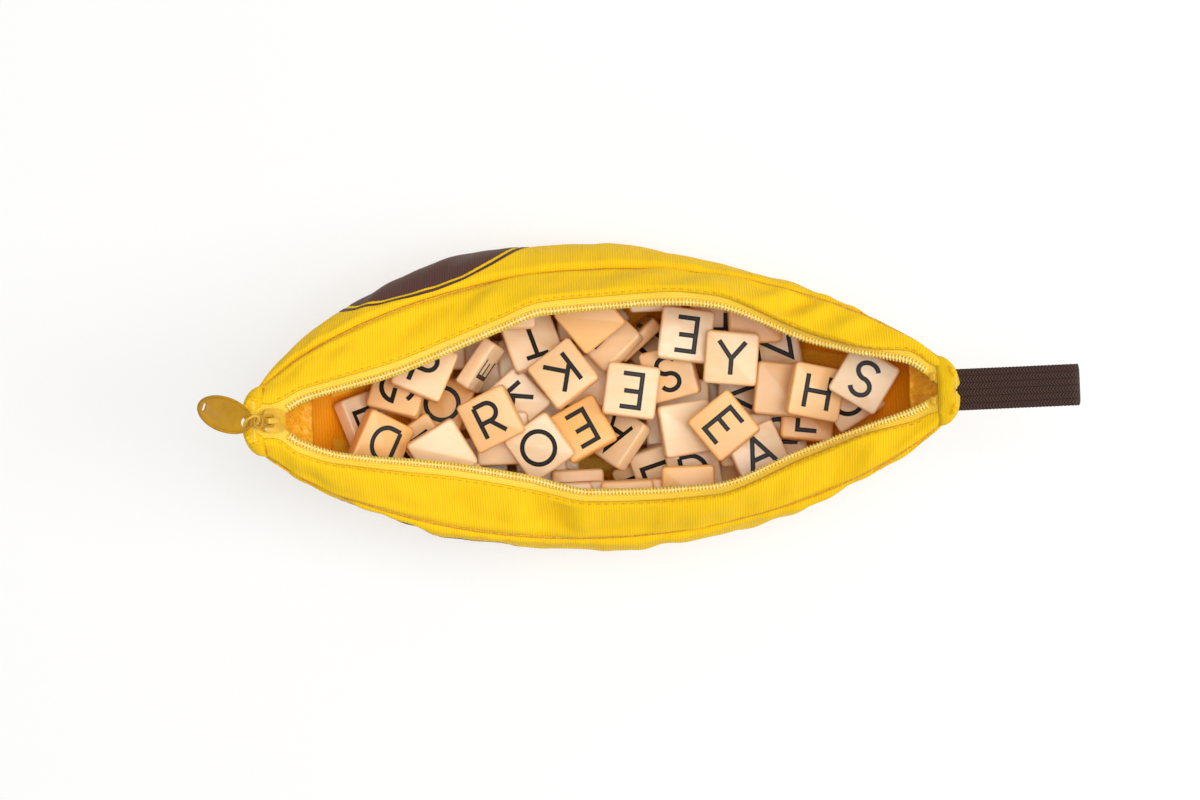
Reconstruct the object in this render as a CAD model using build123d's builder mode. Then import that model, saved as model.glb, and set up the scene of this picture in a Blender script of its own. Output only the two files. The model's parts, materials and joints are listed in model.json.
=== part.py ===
"""Soft zip pouch that holds a travel set of loose letter tiles, with its mouth open.

The pouch rests on its belly panel and curves up to both tips, so the zip runs along
a hollow arc from tip to tip.  +X runs along the zip from the slider to the strap,
+Y is the back, +Z is up, and the origin is under the middle of the belly panel.
All sizes are in millimetres and all angles in degrees.
"""

from build123d import *
from math import acos, asin, ceil, cos, hypot, pi, radians, sin, sqrt
import os

import numpy as np

# ---- pouch shell ------------------------------------------------------------
pouch_length = 246.0  # tip to tip, without the strap
fabric = 1.0  # woven shell with its coating
seam_gap = 0.2  # between the sewn edges of two panels
belly_half_width = 28.0
belly_flat_length = 50.0
belly_edge_rise = 2.0
tip_rise = 80.0  # belly panel at a tip
tip_height = 16.0  # closed tip, from the belly panel up to the top seam
seam_height = 60.0  # top seam in the middle
seam_half_width = 49.0
bulge_height = 38.0  # widest level of a side panel in the middle
back_fullness = 11.0  # how far a side panel bulges past the top seam
front_fullness = 3.0
bulge_lean = 0.15  # the back sags fuller towards the slider end
tip_half_width = 5.0
tip_slope = 0.4  # how steeply the left tip rounds down past the zip
panel_taper = 0.75
stations = 17

# ---- zip --------------------------------------------------------------------
zip_inset = 2.5  # start of the zip from the left tip
zip_end_inset = 3.0
zip_overrun = 9.5  # how much longer than the zip the chord is, under which it hangs
zip_rise = 8.0  # chord above the tips of the top seam; both lips swing about it
zip_dip = 3.0  # closed zip under the top seam in the middle
facing_width = 15.4
tape_width = 7.6
tape_thickness = 0.8
teeth_width = 2.8
teeth_thickness = 1.6
teeth_gap = 0.65  # between a row of teeth and its tape
rim_gap = 0.35  # half the gap between the closed rims
flat_tape_end = 8.0  # the tape lies flat this far from either end of the zip
arched_from = 34.0  # and arches up freely from here on
mouth_back = 34.6
mouth_front = 30.0
# how each open lip waves along the mouth: (place, share of the widest opening)
BACK_WAVE = ((0.0, 0.0), (0.03, 0.03), (0.07, 0.17), (0.19, 0.38), (0.35, 0.79), (0.42, 0.95), (0.5, 0.98),
             (0.6, 1.0), (0.67, 0.95), (0.82, 0.53), (0.9, 0.38), (0.95, 0.28), (1.0, 0.0))
FRONT_WAVE = ((0.0, 0.0), (0.03, 0.04), (0.06, 0.22), (0.12, 0.41), (0.26, 0.57), (0.39, 0.79), (0.48, 0.98),
              (0.58, 1.0), (0.66, 0.98), (0.8, 0.6), (0.95, 0.19), (1.0, 0.0))

# ---- slider and pull --------------------------------------------------------
slider_length = 9.0
slider_width = 8.0
slider_plate = 1.0
slider_channel = 3.0  # between the two plates
slider_neck = 1.2
slider_inset = 5.6  # slider's middle from the start of the zip
stop_length = 2.0
stop_height = 1.2
stop_gap = 0.15  # between a stop and the tape it is crimped on
crown_length = 5.0
crown_width = 2.0
crown_wire = 1.0
crown_opening = 2.6
crown_offset = 2.3  # crown's middle behind the slider's middle
pull_clearance = 0.4
eye_bar = 0.9
eye_lift = 56.0  # slope of the eye at rest
eye_thickness = 0.8
eye_rim = 0.9
ring_radius = 2.8
ring_wire = 0.5
ring_lift = 46.0  # slope of the ring at rest
ring_roll = 45.0  # how far the ring lies over from upright
link_hole = 1.8  # radius, in the eye and in the tag
tag_length = 22.0
tag_width = 12.0
tag_thickness = 1.0
tag_yaw = 25.0
tag_lift = 36.0  # slope of the tag at rest, which keeps it inside the zip's arc on the slider's way
tag_roll = 8.0
tag_hole_inset = 2.7
tag_slot_length = 2.8
tag_slot_width = 1.1
tag_slot_inset = 2.3

# ---- strap ------------------------------------------------------------------
strap_width = 14.5
strap_length = 42.0
strap_webbing = 1.8
strap_fold_gap = 5.6  # inside height of the fold at the free end
strap_root_gap = 0.3
binding_thickness = 2.4
binding_width = 17.0
binding_overlap = 0.5  # how far it reaches past the panels, above and below

# ---- seam allowances --------------------------------------------------------
allowance_width = 5.0
allowance_thickness = 1.2
allowance_gap = 0.25
allowance_margin = 1.2  # kept free round a seam allowance

# ---- tiles ------------------------------------------------------------------
tile_side = 19.4
tile_thickness = 5.3
tile_chamfer = 0.45
tile_gap = 0.1
tile_wall_gap = 0.2
tile_nudge = 2.0  # how far a listed tile may move to fit between its neighbours
fill_step = 4.5  # grid on which hidden tiles look for room
tile_count = 144
hidden_groups = 5  # layers that the hidden tiles are sorted into

# Tiles on top of the heap that lift straight out of the mouth, then the other tiles that
# can be seen from above, highest first.  Each has its place along and across the mouth, as
# shares of the half length and of the seam's half width, its turn, its tilt, and the way
# it tilts.
LOOSE_TILES = (
    (0.36, -0.19, 37, 6, 150), (-0.33, -0.06, 24, 9, 200),
    (-0.11, 0.25, 35, 16, 130), (0.09, 0.10, -10, 4, 90),
)
SEEN_TILES = (
    (0.39, 0.27, -7, 3, 200), (0.26, 0.50, -10, 4, 80), (0.77, 0.11, -33, 8, 200),
    (0.63, 0.03, -13, 16, 355), (0.52, 0.06, -8, 4, 30), (-0.19, -0.29, 33, 10, 210),
    (-0.46, -0.30, 29, 9, 300), (-0.64, -0.20, -28, 22, 350), (-0.55, -0.26, 33, 18, 0),
    (0.03, 0.50, 42, 30, 135), (-0.20, 0.50, 17, 24, 80), (-0.52, 0.33, -25, 9, 60),
    (-0.60, 0.20, -17, 16, 100), (-0.06, -0.17, 27, 14, 130), (0.25, -0.16, 7, 8, 10),
    (0.27, -0.52, 9, 10, 280), (0.17, -0.52, 17, 12, 260), (0.21, 0.22, 12, 24, 190),
    (-0.34, 0.34, 54, 56, 324), (-0.26, 0.11, 39, 7, 250), (-0.04, 0.62, 37, 10, 250),
    (0.46, -0.37, 22, 8, 60), (0.53, 0.38, 7, 14, 200), (0.03, -0.25, 54, 60, 144),
    (0.08, -0.32, 50, 64, 144), (0.12, -0.58, 19, 20, 250), (0.13, 0.46, 42, 58, 130),
    (0.18, 0.40, 42, 62, 130), (0.60, -0.18, -8, 8, 90), (0.54, -0.25, -3, 6, 180),
    (0.72, -0.06, 30, 24, 180), (0.80, 0.0, 15, 30, 175), (-0.71, 0.01, 110, 72, 20),
    (-0.79, 0.02, 20, 24, 5), (-0.48, 0.06, -22, 6, 90), (0.43, 0.02, -5, 4, 0), (0.37, 0.55, -3, 8, 270),
)
heap_clearance = 9.0  # highest corner of the heap under the top seam in the middle

half_length = pouch_length / 2
bulge_back = seam_half_width + back_fullness
bulge_front = seam_half_width + front_fullness
seam_tip_height = tip_rise + tip_height
strap_level = tip_rise + tip_height / 2
heap_height = seam_height - heap_clearance
flat_half = belly_flat_length / 2
zip_start = zip_inset - half_length
zip_end = half_length - zip_end_inset
zip_length_x = zip_end - zip_start
zip_chord = zip_length_x + zip_overrun
zip_height = seam_tip_height + zip_rise
zip_sag = zip_height - seam_height + zip_dip
zip_centre_x = zip_start + zip_chord / 2
zip_radius = ((zip_chord / 2) ** 2 + zip_sag**2) / (2 * zip_sag)
crown_level = slider_channel / 2 + slider_plate  # slider's top face above the zip
pivot_level = crown_level + crown_opening - eye_bar / 2 - pull_clearance * 1.5
eye_slot = crown_length / 2 + crown_wire + pull_clearance
eye_hole_reach = eye_bar / 2 + eye_slot + eye_rim + link_hole
strap_root = half_length + seam_gap + binding_thickness + strap_root_gap


# ---- shape laws -------------------------------------------------------------
def through(points, place):
    """Smooth rise and fall through a few (place, share) points, without overshoot."""
    xs = [p[0] for p in points]
    ys = [p[1] for p in points]
    place = min(max(place, xs[0]), xs[-1])
    slopes = [(b[1] - a[1]) / (b[0] - a[0]) for a, b in zip(points, points[1:])]
    tangents = [slopes[0]]
    for before, after in zip(slopes, slopes[1:]):
        tangents.append(0.0 if before * after <= 0 else 2 * before * after / (before + after))
    tangents.append(slopes[-1])
    i = max(k for k in range(len(xs) - 1) if xs[k] <= place)
    h = xs[i + 1] - xs[i]
    t = (place - xs[i]) / h
    return (
        ys[i] * (1 + 2 * t) * (1 - t) ** 2
        + ys[i + 1] * t * t * (3 - 2 * t)
        + h * tangents[i] * t * (1 - t) ** 2
        - h * tangents[i + 1] * t * t * (1 - t)
    )


def spread(x):
    """Share of the full width that the pouch has at x: 1 in the middle, 0 at a tip."""
    return max(0.0, 1 - (x / half_length) ** 2) ** panel_taper


def width_at(x, middle):
    return tip_half_width + (middle - tip_half_width) * spread(x)


def belly_z(x):
    reach = max(0.0, abs(x) - flat_half) / (half_length - flat_half)
    return tip_rise * reach**2


def seam_z(x):
    return seam_height + (seam_tip_height - seam_height) * (x / half_length) ** 2


def bulge_z(x):
    tip = (tip_rise + seam_tip_height) / 2
    return bulge_height + (tip - bulge_height) * (x / half_length) ** 2


def bulge_y(x, side):
    if side > 0:
        return width_at(x, bulge_back) * (1 - bulge_lean * x / half_length)
    return width_at(x, bulge_front)


def belly_y(x):
    return width_at(x, belly_half_width)


def seam_y(x):
    return width_at(x, seam_half_width)


def zip_drop(x):
    """How far the closed zip hangs under its chord at x."""
    return sqrt(zip_radius**2 - (x - zip_centre_x) ** 2) - (zip_radius - zip_sag)


def rim_y(x, side):
    place = (x - zip_start) / zip_length_x
    wave, widest = (BACK_WAVE, mouth_back) if side > 0 else (FRONT_WAVE, mouth_front)
    return max(widest * through(wave, place), rim_gap)


def rim_z(x, side):
    """A lip keeps its distance from the chord while it swings, so it closes exactly."""
    if x < zip_start:
        return zip_height - (zip_start - x) * tip_slope
    return zip_height - sqrt(max(0.0, zip_drop(x) ** 2 - rim_y(x, side) ** 2))


# ---- sections across the pouch, as points (y, z) on the outer face -----------
def side_section(x, side):
    """Side panel from the belly seam round the bulge to the top seam."""
    low, wide, top = belly_y(x), bulge_y(x, side), seam_y(x)
    z_low, z_wide, z_top = belly_z(x) + belly_edge_rise, bulge_z(x), seam_z(x)
    points = []
    for share in (0.0, 0.25, 0.5, 0.75, 1.0):
        turn = share * pi / 2
        points.append((low + (wide - low) * sin(turn), z_low + (z_wide - z_low) * (1 - cos(turn))))
    for share in (0.33, 0.67, 1.0):
        turn = share * pi / 2
        points.append((top + (wide - top) * cos(turn), z_wide + (z_top - z_wide) * sin(turn)))
    return [(side * y, z) for y, z in points]


def belly_section(x):
    edge, z = belly_y(x) - 2 * seam_gap, belly_z(x)
    return [
        (-edge, z + belly_edge_rise),
        (-edge * 0.72, z + belly_edge_rise * 0.1),
        (0.0, z),
        (edge * 0.72, z + belly_edge_rise * 0.1),
        (edge, z + belly_edge_rise),
    ]


def ease(value):
    """Smooth step from 0 to 1."""
    value = min(max(value, 0.0), 1.0)
    return value * value * (3 - 2 * value)


def lip_points(x, side):
    """Top seam, the tape's sewn edge and the rim: two stiff strips that arch between."""
    seam = (seam_y(x), seam_z(x))
    rim = (rim_y(x, side), rim_z(x, side))
    span = hypot(seam[0] - rim[0], seam[1] - rim[1])
    facing = max(facing_width, span - 0.95 * tape_width)
    if facing > span + 0.95 * tape_width:
        facing = span + 0.95 * tape_width
    along = (span**2 + facing**2 - tape_width**2) / (2 * span)
    lift = sqrt(max(0.0, facing**2 - along**2))
    uy, uz = (rim[0] - seam[0]) / span, (rim[1] - seam[1]) / span
    arched = (seam[0] + uy * along + uz * lift, seam[1] + uz * along - uy * lift)
    flat = (min(rim[0] + tape_width, seam[0] - 0.1), rim[1])
    to_end = min(x - zip_start, zip_end - x)
    blend = ease((to_end - flat_tape_end) / (arched_from - flat_tape_end))
    sewn = tuple(f + (a - f) * blend for f, a in zip(flat, arched))
    return seam, sewn, rim


def corner_clearance(before, corner, after, first_thickness, second_thickness):
    """How far along the second strip it comes clear of the first, round a folded corner."""
    a = (before[0] - corner[0], before[1] - corner[1])
    b = (after[0] - corner[0], after[1] - corner[1])
    cosine = (a[0] * b[0] + a[1] * b[1]) / (hypot(*a) * hypot(*b))
    sine = max(sqrt(max(0.0, 1 - cosine**2)), 0.3)
    return max((first_thickness + 2 * seam_gap + second_thickness * cosine) / sine, 2 * seam_gap)


def toward(a, b, distance):
    """Point on the way from a to b, at a distance from a."""
    length = hypot(b[0] - a[0], b[1] - a[1])
    return (a[0] + (b[0] - a[0]) * distance / length, a[1] + (b[1] - a[1]) * distance / length)


def shifted(points, distance):
    """The same section, moved sideways by a distance: positive is left of its direction."""
    moved = []
    for i, (y, z) in enumerate(points):
        before = points[max(i - 1, 0)]
        after = points[min(i + 1, len(points) - 1)]
        dy, dz = after[0] - before[0], after[1] - before[1]
        length = hypot(dy, dz)
        moved.append((y - dz / length * distance, z + dy / length * distance))
    return moved


def spaced(start, end, count):
    return [start + (end - start) * i / (count - 1) for i in range(count)]


def crowded(reach, count):
    """Places from -reach to reach that crowd towards both tips, where the pouch narrows fast."""
    return [reach * sin(pi / 2 * share) for share in spaced(-1.0, 1.0, count)]


def skin(sections, thickness, smooth=True):
    """Loft a thin strip through sections given as {x: outer points}, inside to the left."""
    with BuildPart() as panel:
        for x, outer in sections.items():
            with BuildSketch(Plane.YZ.offset(x)):
                with BuildLine():
                    draw = Spline if smooth else Polyline
                    out = draw(*outer)
                    inner = draw(*shifted(outer, thickness))
                    Line(out @ 0, inner @ 0)
                    Line(out @ 1, inner @ 1)
                make_face()
        loft()
    return panel


def finish(builder, name):
    builder.part.label = name
    export_step(builder.part, f"parts/{name}.step")


# ---- shell pieces -----------------------------------------------------------
def make_belly_panel():
    sections = {x: belly_section(x) for x in crowded(half_length, stations)}
    shell = skin({x: [(y, z + fabric * 0.15) for y, z in s] for x, s in sections.items()}, fabric)
    with BuildPart() as panel:
        add(shell.part)
        with BuildSketch(Plane.XY):
            Rectangle(belly_flat_length * 0.9, belly_half_width * 1.3)
        extrude(amount=fabric)
    finish(panel, "belly_panel")


def make_side_panel(side, name):
    sections = {}
    for x in crowded(half_length, stations):
        outer = side_section(x, side)
        outer[0] = toward(outer[0], outer[1], seam_gap)
        outer[-1] = toward(outer[-1], outer[-2], seam_gap)
        sections[x] = outer
    finish(skin(sections, fabric * side), name)


def lip_stations():
    return crowded(half_length, 2 * stations + 1)


def facing_line(x, side):
    """Ends of the facing's section, clear of the side panel and folded under the tape."""
    seam, sewn, rim = lip_points(x, side)
    panel = side_section(x, side)[-2]
    start = corner_clearance((abs(panel[0]), panel[1]), seam, sewn, fabric, fabric)
    return toward(seam, sewn, start), toward(sewn, seam, seam_gap)


def tape_line(x, side):
    seam, sewn, rim = lip_points(x, side)
    start = corner_clearance(seam, sewn, rim, fabric, tape_thickness)
    return toward(sewn, rim, start), toward(rim, sewn, rim_gap)


def strip(line, side):
    low, high = line
    middle = ((low[0] + high[0]) / 2, (low[1] + high[1]) / 2)
    return [(side * y, z) for y, z in (low, middle, high)]


def make_facing(side, name):
    sections = {x: strip(facing_line(x, side), side) for x in lip_stations()}
    finish(skin(sections, fabric * side), name)


def make_tape(side, name):
    sections = {x: strip(tape_line(x, side), side) for x in lip_stations()}
    finish(skin(sections, tape_thickness * side), name)


def make_teeth(side, name):
    """One row of the coil, as a bar on the tape's inner edge."""
    start = zip_start + slider_inset + slider_length / 2 + 0.6
    sections = {}
    for x in spaced(start, top_stop_x() - stop_length, 2 * stations - 1):
        _, sewn, rim = lip_points(x, side)
        row = shifted([toward(rim, sewn, teeth_width), rim], -(teeth_thickness + teeth_gap))
        sections[x] = [(side * y, z) for y, z in row]
    finish(skin(sections, teeth_thickness * side, smooth=False), name)


def make_top_allowance(side, name):
    """Overlocked edge of the top seam, hanging inside the pouch."""
    sections = {}
    reach = half_length * 0.93
    for x in spaced(-reach, reach, stations):
        y = seam_y(x) - 2 * fabric - allowance_gap - allowance_thickness
        z = seam_z(x) - fabric
        sections[x] = [(side * (y + 0.6), z - allowance_width), (side * y, z)]
    finish(skin(sections, allowance_thickness * side, smooth=False), name)


def allowance_edge_y(x):
    return belly_y(x) - 3.2 * fabric


def make_bottom_allowance(side, name):
    """Overlocked edge of the belly seam, folded flat on the belly panel."""
    sections = {}
    reach = half_length * 0.8
    for x in spaced(-reach, reach, stations):
        y = allowance_edge_y(x)
        z = belly_z(x) + fabric * 1.15 + belly_edge_rise * 0.45 + allowance_gap
        sections[x] = [(side * (y - allowance_width), z), (side * y, z + 0.35)]
    finish(skin(sections, allowance_thickness * side, smooth=False), name)


def make_end_binding(sign, name):
    """Folded tape that closes a tip, where the panels and the zip come together."""
    start = sign * (half_length + seam_gap)
    low = tip_rise - binding_overlap
    high = seam_tip_height + binding_overlap
    with BuildPart() as binding:
        with BuildSketch(Plane.YZ.offset(start)):
            with Locations((0, (low + high) / 2)):
                RectangleRounded(binding_width, high - low, binding_width * 0.3)
        extrude(amount=sign * binding_thickness)
        fillet(binding.faces().sort_by(Axis.X)[-1 if sign > 0 else 0].edges(), binding_thickness * 0.4)
    finish(binding, name)


def make_strap():
    """Flat loop of webbing, folded at its free end and held by the binding."""
    end_outer = strap_fold_gap / 2 + strap_webbing
    tip = strap_root + strap_length - end_outer
    side_view = Plane.XZ.offset(-strap_width / 2)
    with BuildPart() as strap:
        with BuildSketch(side_view):
            with BuildLine():
                CenterArc((tip, strap_level), end_outer, 0, 360)
                CenterArc((strap_root + strap_webbing, strap_level), strap_webbing, 0, 360)
            make_hull()
        extrude(amount=strap_width)
        with BuildSketch(side_view):
            with BuildLine():
                CenterArc((tip, strap_level), strap_fold_gap / 2, 0, 360)
                CenterArc((strap_root + 3 * strap_webbing, strap_level), strap_webbing * 0.06, 0, 360)
            make_hull()
        extrude(amount=strap_width, mode=Mode.SUBTRACT)
    finish(strap, "strap_loop")


# ---- zip hardware -----------------------------------------------------------
def zip_plane(x):
    """Plane on the closed zip at x: its own x runs along the zip and its z points out."""
    slope = asin((x - zip_centre_x) / zip_radius)
    origin = (x, 0, zip_height - zip_drop(x))
    return Plane(origin, x_dir=(cos(slope), 0, sin(slope)), z_dir=(-sin(slope), 0, cos(slope)))


def slider_plane():
    return zip_plane(zip_start + slider_inset)


def top_stop_x():
    return zip_end - 2 * stop_length


def make_slider():
    base = slider_plane()
    with BuildPart() as slider:
        for level in (slider_channel / 2, -slider_channel / 2 - slider_plate):
            with BuildSketch(base.offset(level)):
                RectangleRounded(slider_length, slider_width, slider_width * 0.3)
            extrude(amount=slider_plate)
        with BuildSketch(base.offset(-slider_channel / 2)):
            with Locations((slider_length * 0.3, 0)):
                Ellipse(slider_length * 0.16, slider_neck / 2)
        extrude(amount=slider_channel)
    finish(slider, "slider_body")


def make_crown():
    """Arch over the slider that the pull eye hangs in."""
    base = slider_plane()
    side_view = Plane(base.origin, x_dir=base.x_dir, z_dir=(0, -1, 0))
    height = crown_opening + crown_wire
    with BuildPart() as crown:
        with BuildSketch(side_view.offset(-crown_width / 2)) as arch:
            with Locations((-crown_offset, crown_level + height / 2)):
                Rectangle(crown_length, height)
            fillet(arch.vertices().group_by(Axis.Y)[-1], crown_wire * 0.7)
            with Locations((-crown_offset, crown_level + crown_opening / 2)):
                Rectangle(crown_length - 2 * crown_wire, crown_opening, mode=Mode.SUBTRACT)
        extrude(amount=crown_width)
    finish(crown, "slider_crown")


def pivot_point():
    base = slider_plane()
    return base.origin - base.x_dir * crown_offset + base.z_dir * pivot_level


def eye_plane():
    """Through the eye's bar in the crown, with its own x pointing at the ring."""
    lift = radians(eye_lift)
    return Plane(pivot_point(), x_dir=(-cos(lift), 0, sin(lift)), z_dir=(sin(lift), 0, cos(lift)))


def make_eye():
    base = eye_plane()
    width = crown_width + 2 * (pull_clearance + eye_bar)
    with BuildPart() as eye:
        with BuildSketch(base.offset(-eye_thickness / 2)):
            with Locations((eye_slot / 2, 0)):
                RectangleRounded(eye_slot + 2 * eye_bar, width, eye_bar * 0.8)
            with Locations((eye_hole_reach, 0)):
                Circle(link_hole + eye_rim)
                Circle(link_hole, mode=Mode.SUBTRACT)
            with Locations(((eye_bar + eye_slot) / 2, 0)):
                Rectangle(eye_slot, width - 2 * eye_bar, mode=Mode.SUBTRACT)
        extrude(amount=eye_thickness)
    finish(eye, "pull_eye")


def eye_hole():
    base = eye_plane()
    return base.origin + base.x_dir * eye_hole_reach


def ring_plane():
    """Ring lies over on its side: it passes the eye's hole and points at the tag."""
    lift, roll = radians(ring_lift), radians(ring_roll)
    along = Vector(-cos(lift), 0, sin(lift))
    normal = Vector(0, 1, 0) * cos(roll) - Vector(sin(lift), 0, cos(lift)) * sin(roll)
    return Plane(eye_hole() + along * ring_radius, x_dir=along, z_dir=normal)


def make_ring():
    with BuildPart(ring_plane()) as ring:
        Torus(ring_radius, ring_wire)
    finish(ring, "pull_ring")


def tag_plane():
    """Through the tag's hole, with its own x along the tag."""
    yaw, lift, roll = radians(tag_yaw), radians(tag_lift), radians(tag_roll)
    level = Vector(-cos(yaw), sin(yaw), 0)
    along = level * cos(lift) + Vector(0, 0, 1) * sin(lift)
    across = Vector(-sin(yaw), -cos(yaw), 0)
    upright = Vector(0, 0, 1) * cos(lift) - level * sin(lift)
    ring = ring_plane()
    hole = ring.origin + ring.x_dir * ring_radius
    return Plane(hole, x_dir=along, z_dir=upright * cos(roll) - across * sin(roll))


def make_tag():
    base = tag_plane()
    with BuildPart() as tag:
        with BuildSketch(base.offset(-tag_thickness / 2)):
            with Locations((tag_length / 2 - tag_hole_inset, 0)):
                Ellipse(tag_length / 2, tag_width / 2)
            Circle(link_hole, mode=Mode.SUBTRACT)
            with Locations((tag_length - tag_hole_inset - tag_slot_inset, 0)):
                SlotOverall(tag_slot_length, tag_slot_width, rotation=90, mode=Mode.SUBTRACT)
        extrude(amount=tag_thickness)
    finish(tag, "pull_tag")


def make_bottom_stop():
    """Metal clamp over both tapes, behind the slider."""
    with BuildPart(zip_plane(zip_start + stop_length * 0.7).offset(stop_gap)) as stop:
        Box(stop_length * 0.8, 2.4 * stop_length, stop_height, align=(Align.CENTER, Align.CENTER, Align.MIN))
    finish(stop, "bottom_stop")


def make_top_stop(side, name):
    """Small metal block that ends one row of teeth."""
    x = top_stop_x()
    base = zip_plane(x)
    lifted = rim_z(x, side) - base.origin.Z + stop_gap + 0.4
    origin = base.origin + Vector(0, side * (rim_y(x, side) + teeth_width / 2), lifted)
    with BuildPart(Plane(origin, x_dir=base.x_dir, z_dir=base.z_dir)) as stop:
        Box(stop_length, teeth_width, stop_height, align=(Align.CENTER, Align.CENTER, Align.MIN))
    finish(stop, name)


# ---- tiles ------------------------------------------------------------------
def side_limit(x, z, side):
    """Outer face of the side panel at a level, as a distance from the middle plane."""
    low, wide, top = belly_y(x), bulge_y(x, side), seam_y(x)
    z_low, z_wide, z_top = belly_z(x) + belly_edge_rise, bulge_z(x), seam_z(x)
    if z <= z_low:
        return low
    if z < z_wide:
        return low + (wide - low) * sin(acos(1 - (z - z_low) / (z_wide - z_low)))
    return top + (wide - top) * cos(asin(min(1.0, (z - z_wide) / (z_top - z_wide))))


def inside(point):
    """Whether a tile's corner is clear of the panels and the seam allowances."""
    x, y, z = point
    if abs(x) > half_length * 0.97:
        return False
    floor = belly_z(x) + 1.3 * fabric + tile_wall_gap
    if abs(y) > allowance_edge_y(x) - allowance_width - allowance_margin:
        floor += belly_edge_rise * 0.45 + allowance_gap + allowance_thickness + allowance_margin / 2
    wall = fabric * 1.3 + tile_wall_gap
    if z > seam_z(x) - allowance_width - 2 * fabric:
        wall += allowance_width
    return z > floor and abs(y) < side_limit(x, z, 1 if y > 0 else -1) - wall


def tile_turn(yaw, tilt, toward_angle):
    """Rotation matrix of a tile: turned by yaw, then tilted down towards an angle."""
    yaw, tilt, heading = radians(yaw), radians(tilt), radians(toward_angle)
    spin = np.array([[cos(yaw), -sin(yaw), 0], [sin(yaw), cos(yaw), 0], [0, 0, 1]])
    kx, ky = -sin(heading), cos(heading)
    cross = np.array([[0, 0, ky], [0, 0, -kx], [-ky, kx, 0]])
    lean = np.eye(3) + sin(tilt) * cross + (1 - cos(tilt)) * cross @ cross
    return lean @ spin


HALF = np.array([tile_side, tile_side, tile_thickness]) / 2 + tile_gap / 2
CORNERS = np.array([(i, j, k) for i in (-1, 1) for j in (-1, 1) for k in (-1, 1)])


def apart(centre, turn, centres, turns):
    """Whether a tile is clear of each placed tile: some direction separates the boxes."""
    gap = centres - centre
    reach = np.abs(turn[None, :, :])
    own = np.broadcast_to(turn.T, turns.shape)
    theirs = turns.transpose(0, 2, 1)
    crossed = np.cross(own[:, :, None, :], theirs[:, None, :, :]).reshape(len(turns), 9, 3)
    lines = np.concatenate([own, theirs, crossed], axis=1)
    distance = np.abs(np.einsum("nij,nj->ni", lines, gap))
    first = np.abs(np.einsum("nij,jk->nik", lines, turn)) @ HALF
    second = np.abs(np.einsum("nij,njk->nik", lines, turns)) @ HALF
    return bool(np.all(np.any(distance > first + second + 1e-9, axis=1)))


def free(centre, turn, placed):
    if not inside(centre) or not all(inside(centre + corner) for corner in CORNERS * HALF @ turn.T):
        return False
    x, y, z = centre
    reach = (1.5 * tile_side) ** 2
    near = [t for t in placed if (t[0][0] - x) ** 2 + (t[0][1] - y) ** 2 + (t[0][2] - z) ** 2 < reach]
    if not near:
        return True
    return apart(centre, turn, np.array([n[0] for n in near]), np.array([n[1] for n in near]))


def heap_top(x):
    """Highest corner allowed at x: the heap lies in the pouch and rises with it to the tips."""
    return heap_height + (tip_rise - heap_height) * (x / half_length) ** 2


def highest_free(x, y, turn, placed):
    """Highest free centre at one place, under the top of the heap, or None."""
    z = heap_top(x) - (np.abs(turn[2]) @ HALF)
    while z > belly_z(x):
        centre = np.array([x, y, z])
        if free(centre, turn, placed):
            return centre
        z -= tile_thickness / 5
    return None


def hang(entry, placed):
    """Find a high free place for one listed tile, nudged and tilted a little to fit."""
    along, across, yaw, tilt, heading = entry
    best = None
    for tilt_share in (1.0, 0.7, 1.4):
        turn = tile_turn(yaw, tilt * tilt_share, heading)
        for nudge_x in (0.0, -tile_nudge, tile_nudge):
            for nudge_y in (0.0, -tile_nudge, tile_nudge):
                x, y = along * half_length + nudge_x, across * seam_half_width + nudge_y
                centre = highest_free(x, y, turn, placed)
                if centre is None:
                    continue
                score = centre[2] - 0.5 * (abs(nudge_x) + abs(nudge_y))
                if best is None or score > best[0] + 0.5:
                    best = (score, centre, turn)
    return best and best[1:]


def fill_hidden(total, seen):
    """Lay flat tiles from the belly up, wherever one fits, up to this many tiles."""
    hidden = []
    reach, width = half_length * 0.85, bulge_back
    steps_x, steps_y = int(2 * reach / fill_step), int(2 * width / fill_step)
    level = fabric * 1.3 + tile_wall_gap + tile_thickness / 2 + tile_gap
    while len(hidden) < total and level < heap_height:
        for yaw in (0.0, 35.0):
            turn = tile_turn(yaw, 0, 0)
            for i in range(steps_x + 1):
                for j in range(steps_y + 1):
                    x, y = i * fill_step - reach, j * fill_step - width
                    beside = [c for c, _ in hidden[-30:] if level - c[2] < tile_thickness]
                    if any((c[0] - x) ** 2 + (c[1] - y) ** 2 < tile_side**2 for c in beside):
                        continue
                    centre = np.array([x, y, level])
                    if len(hidden) < total and free(centre, turn, seen + hidden):
                        hidden.append((centre, turn))
        level += tile_thickness / 3
    return hidden


def settle(tiles):
    """Let every tile down, lowest first, until it meets a tile or a wall."""
    for lowest in sorted(range(len(tiles)), key=lambda i: tiles[i][0][2]):
        centre, turn = tiles[lowest]
        others = tiles[:lowest] + tiles[lowest + 1 :]
        step = tile_thickness / 6
        while step > 0.02:
            lower = centre - np.array([0, 0, step])
            if free(lower, turn, others):
                centre = lower
            else:
                step /= 4
        tiles[lowest] = (centre, turn)
    return tiles


def tile_plane(tile):
    centre, turn = tile
    return Plane(tuple(centre), x_dir=tuple(turn[:, 0]), z_dir=tuple(turn[:, 2]))


def make_tiles(tiles, name):
    with BuildPart(*[tile_plane(tile) for tile in tiles]) as group:
        Box(tile_side, tile_side, tile_thickness)
        chamfer(group.edges(), tile_chamfer)
    finish(group, name)


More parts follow.
